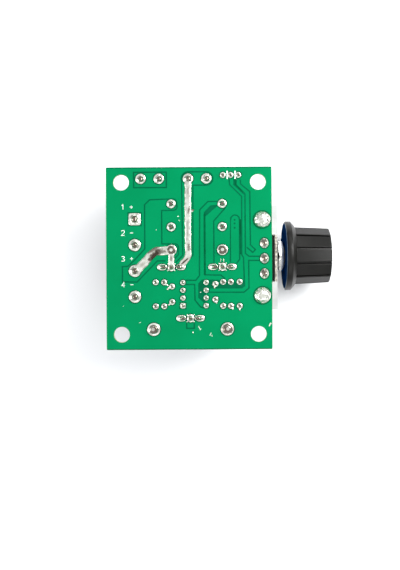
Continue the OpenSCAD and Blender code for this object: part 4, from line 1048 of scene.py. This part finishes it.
# Heat-shrunk PVC: blue black and glossy, with slow waves in it.
finish("blue_black_pvc_sleeve", ("#0d1425", "#152038"), 8.0, (0.24, 0.36), 0.8, 0.012,
       ["capacitor_can_1", "capacitor_can_2"], IOR=1.53)
# Pressed butyl rubber: flat black.
finish("black_butyl_rubber", ("#101010", "#1c1c1c"), 2.0, (0.65, 0.8), 0.2, 0.02,
       ["capacitor_seals"])
print("materials so far:", len(bpy.data.materials))

# %% [markdown]
# The small parts are dipped in lacquer, or made of paper, mica or glass. The glass has no
# drift at all: a drawn tube is clear, smooth and colourless.

# %% Lacquers, paper, mica and glass
# Wound kraft paper: brown, with streaks round the roll.
finish("wound_kraft_paper", ("#8a6d46", "#ab8f66"), 3.0, (0.75, 0.88), 0.2, 0.02,
       ["capacitor_rolls"], stretch=(1, 1, 0.2))
# Split mica: pale and faintly glossy.
finish("mica_sheet", ("#bcb9a6", "#d6d4c8"), 3.0, (0.3, 0.5), 0.4, 0.01, ["insulating_pad"])
# Resistor lacquer: a tan enamel.
finish("tan_resistor_lacquer", ("#bd955d", "#d0ab77"), 2.0, (0.38, 0.5), 0.3, 0.02,
       ["resistors"], IOR=1.5)
# Dipped ceramic lacquer: orange brown, lumpy from the dip.
finish("dipped_ceramic_lacquer", ("#ab6523", "#c47e38"), 2.0, (0.42, 0.58), 0.3, 0.04,
       ["ceramic_capacitors"], IOR=1.5)
# Punched phenolic paper: brown and fibrous.
finish("brown_phenolic_paper", ("#5f3a1e", "#7c5230"), 1.5, (0.5, 0.62), 0.3, 0.01,
       ["pot_wafer"])
# Moulded acetal: milky white.
finish("white_acetal", ("#d4d2c8", "#e4e3dc"), 3.0, (0.4, 0.5), 0.3, 0.01, ["pot_rotor"])
# Soda-lime glass: clear, with sharp highlights.
dress(new_material("soda_lime_glass", Base_Color=linear("#f4fbf9"), Roughness=0.04, IOR=1.52,
                   Transmission_Weight=0.92), ["fuse_glass"])
print("materials so far:", len(bpy.data.materials))

# %% [markdown]
# ## Marks on the components
# The parts under the board carry the marks that tell how to fit them. Down each capacitor's
# sleeve runs a pale stripe with minus signs. It is a thin shell laid on the sleeve, just
# proud of it, so it needs no picture.

# %% Capacitor stripes
SKIN = 0.04


def wrapped(x, y, radius, turn, half_width, low, high, count=9):
    """A curved strip on an upright can, round an angle in degrees, half_width to each side."""
    rows = []
    for i in range(count):
        angle = math.radians(turn - half_width + 2 * half_width * i / (count - 1))
        rows.append([(x + reach * math.cos(angle), y + reach * math.sin(angle), z)
                     for reach, z in ((radius - SKIN, low), (radius - SKIN, high),
                                      (radius + SKIN, high), (radius + SKIN, low))])
    corners, faces = skin(rows)
    last = len(corners) - 4
    return corners, faces + [[3, 2, 1, 0], [last, last + 1, last + 2, last + 3]]


stripe_turns = {"capacitor_can_1": 128.0, "capacitor_can_2": 48.0}
stripe_half, sign_half = 17.0, 8.0
stripe_from_board, stripe_from_end = 5.0, 1.2
sign_pitch, sign_height = 4.6, 0.9
stripe_parts, sign_parts = [], []
for can, turn in stripe_turns.items():
    can_low, can_high = box_of(can)
    middle = (can_low + can_high) / 2
    radius = (can_high.x - can_low.x) / 2
    low, high = can_low.z + stripe_from_end, can_high.z - stripe_from_board
    stripe_parts.append(wrapped(middle.x, middle.y, radius, turn, stripe_half, low, high))
    for i in range(int((high - low) / sign_pitch)):
        sign_z = low + sign_pitch * (i + 0.5)
        sign_parts.append(wrapped(middle.x, middle.y, radius + SKIN, turn, sign_half, sign_z,
                                  sign_z + sign_height, 5))
# Grey sleeve print: a thin, pale ink, a little duller than the sleeve.
stripe_ink = finish("grey_sleeve_print", ("#a4adb8", "#b9c0c8"), 4.0, (0.34, 0.46), 0.4, 0.01)
# Dark sleeve print: the same gloss, in a blue black like the sleeve's.
sign_ink = finish("dark_sleeve_print", ("#0f1626", "#182138"), 3.0, (0.34, 0.46), 0.4, 0.01)
add_piece("capacitor_stripes", stripe_parts, stripe_ink)
add_piece("capacitor_signs", sign_parts, sign_ink)
print("stripes:", len(stripe_parts), "signs:", len(sign_parts))

# %% [markdown]
# Resistors wear coloured bands that tell their value, two on the thick ends and two on the
# waist, and each diode has a pale band at its cathode. They are hoops round the bodies.

# %% Coloured bands
def hoops_on(node, step, radius, width):
    """A hoop on each solid of a CAD node that lies along Y, a step from its middle."""
    hoops = []
    for one in islands_of(node):
        y, z = one["y"] + step, (one["low"][2] + one["high"][2]) / 2
        rows = [[(one["x"] + reach * math.cos(angle), end, z + reach * math.sin(angle))
                 for reach, end in ((radius - SKIN, y - width / 2), (radius - SKIN, y + width / 2),
                                    (radius + SKIN, y + width / 2), (radius + SKIN, y - width / 2))]
                for angle in turns(28)]
        hoops.append(skin(rows, closed=True))
    return hoops


end_r, waist_r, band_width = 1.15, 0.9775, 0.45
band_looks = {"brown": ("#4a2413", -2.1, end_r), "black": ("#161412", -0.75, waist_r),
              "orange": ("#c4581c", 0.35, waist_r), "gold": ("#a8873f", 2.1, end_r)}
for tone, (colour, step, radius) in band_looks.items():
    # Band enamel: one even colour, glossy in places.
    enamel = finish(tone + "_resistor_lacquer", (colour, colour), 1.0, (0.35, 0.5), 0.3, 0.01)
    add_piece("resistor_bands_" + tone, hoops_on("resistors", step, radius, band_width), enamel)
cathode_step, cathode_width, diode_r = 1.6, 0.9, 1.2
# Cathode paint: a flat silver grey.
cathode_paint = finish("silver_grey_paint", ("#bbbdbf", "#cfd1d3"), 1.0, (0.4, 0.55), 0.2, 0.01)
add_piece("cathode_bands", hoops_on("diodes", cathode_step, diode_r, cathode_width),
          cathode_paint)
print("resistor bands:", len(band_looks), "colours")

# %% [markdown]
# ## The knob
# The grip's ribs are flat, not round, so each one takes its own tone: the top rib mirrors the
# bright ceiling and its neighbours the darker wall. The CAD's shell is round between its
# grooves. This one has the same size, grooves and bores, with flat ribs, chamfers beside each
# groove and rounded rims. Its profile runs over the outside and back through the bore, and
# says for each ring whether it has the ribs' outline or is a plain circle.

# %% Knob's profile
shell_low, shell_high = box_of("knob_shell")
knob_middle = (shell_low + shell_high) / 2
rim_r = (shell_high.y - shell_low.y) / 2
length = shell_high.x - shell_low.x
grip_r, grip_end_r, bore_r, face_bore_r, disc_seat_r = 9.95, 9.47, 7.55, 6.35, 11.4
flange_t, slope_end, disc_t, face_t, rim_round, end_round = 2.0, 3.3, 1.2, 2.0, 0.35, 0.6
profile = [(0.0, rim_r - rim_round, False), (rim_round * 0.3, rim_r - rim_round * 0.3, False),
           (rim_round, rim_r, False), (flange_t - rim_round, rim_r, False),
           (flange_t - rim_round * 0.2, rim_r - rim_round * 0.25, False),
           (slope_end - 0.2, grip_r + 0.55, False), (slope_end, grip_r + 0.3, False),
           (slope_end, grip_r, False), (slope_end + 0.02, grip_r, True),
           (length - end_round, grip_end_r, True)]
for turn in (30, 60, 90):
    profile.append((length - end_round * (1 - math.sin(math.radians(turn))),
                    grip_end_r - end_round * (1 - math.cos(math.radians(turn))), True))
profile += [(length, face_bore_r, False), (length - face_t, face_bore_r, False),
            (length - face_t, bore_r - 0.75, False), (disc_t, bore_r, False),
            (disc_t, disc_seat_r, False), (0.0, disc_seat_r, False)]
print("knob:", round(2 * rim_r, 1), "mm across,", round(length, 2), "mm long")

# %% [markdown]
# Round the knob, each of the twelve ribs is given by ten angles from its middle: one in the
# groove, two at each chamfer, and the flat between them. A rib lies inside the circle by the
# depth of the groove, by the chamfer, or by what a flat saves.

# %% Knob shell
rib_count, groove_depth, chamfer = 12, 0.9, 0.16
flat_half, chamfer_half, groove_half = 11.9, 12.9, 13.1
rib_angles = (-15.0, -groove_half, -chamfer_half, -flat_half, -6.0, 0.0, 6.0, flat_half,
              chamfer_half, groove_half)


def rib_drop(angle, radius):
    """How far a rib's outline lies inside the circle, at an angle from the rib's middle."""
    if abs(angle) >= groove_half:
        return groove_depth
    if abs(angle) >= chamfer_half:
        return chamfer
    return radius * (1 - math.cos(math.radians(flat_half)) / math.cos(math.radians(angle)))


shell_rows = []
for along, radius, ribbed in profile:
    row = []
    for rib in range(rib_count):
        for angle in rib_angles:
            turn = math.radians(rib * 360 / rib_count + angle)
            reach = radius - (rib_drop(angle, radius) if ribbed else 0)
            row.append((shell_low.x + along, knob_middle.y + reach * math.sin(turn),
                        knob_middle.z + reach * math.cos(turn)))
    shell_rows.append(row)
# Moulded ABS: a warm black with soft, weak highlights.
knob_black = finish("black_abs_knob", ("#0b0b08", "#11110d"), 5.0, (0.27, 0.36), 0.3, 0.010,
                    edge=0.35, Specular_IOR_Level=0.28)
shell = add_piece("fluted_knob_shell", [skin(shell_rows, closed=True)], knob_black,
                  body="knob")
shell.data.set_sharp_from_angle(angle=math.radians(24))
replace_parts(shell, "knob_shell")
print("knob shell:", rib_count, "ribs,", len(shell.data.polygons), "faces")

# %% [markdown]
# The core is moulded in navy and keeps its CAD shape. Its back disc has a rounded rim, shown
# as a thin pale line: a slim bead where the core meets the shell, in painted highlight. The
# pointer is a line of white paint pressed into a slot of the core's face.

# %% Core, its rim and the pointer
core_low, core_high = box_of("knob_core")
bead_r, bead_thick = (core_high.y - core_low.y) / 2, 0.13
bead_rows = []
for turn in turns(72):
    reaches = [(bead_thick * math.sin(a), bead_r + bead_thick * math.cos(a)) for a in turns(8)]
    bead_rows.append([(core_low.x + along, knob_middle.y + reach * math.cos(turn),
                       knob_middle.z + reach * math.sin(turn)) for along, reach in reaches])
# Navy ABS, spark-eroded: deep blue and quite matt.
finish("navy_abs_core", ("#0a2a55", "#0d386e"), 4.0, (0.4, 0.5), 0.3, 0.03, ["knob_core"],
       Specular_IOR_Level=0.0)
# Its rim: greyer and glossier, a painted highlight along the edge of the disc.
rim_painted_highlight = finish("navy_rim_painted_highlight", ("#51687d", "#6b8297"), 3.0, (0.2, 0.32), 0.3, 0.005,
                  IOR=1.54)
# Pad paint: white and a little chalky.
finish("white_pad_paint", ("#e2e1db", "#f2f1ed"), 2.0, (0.45, 0.55), 0.2, 0.01,
       ["knob_pointer"])
add_piece("core_rim_painted_highlight", [skin(bead_rows, closed=True)], rim_painted_highlight, body="knob")
print("materials:", len(bpy.data.materials))
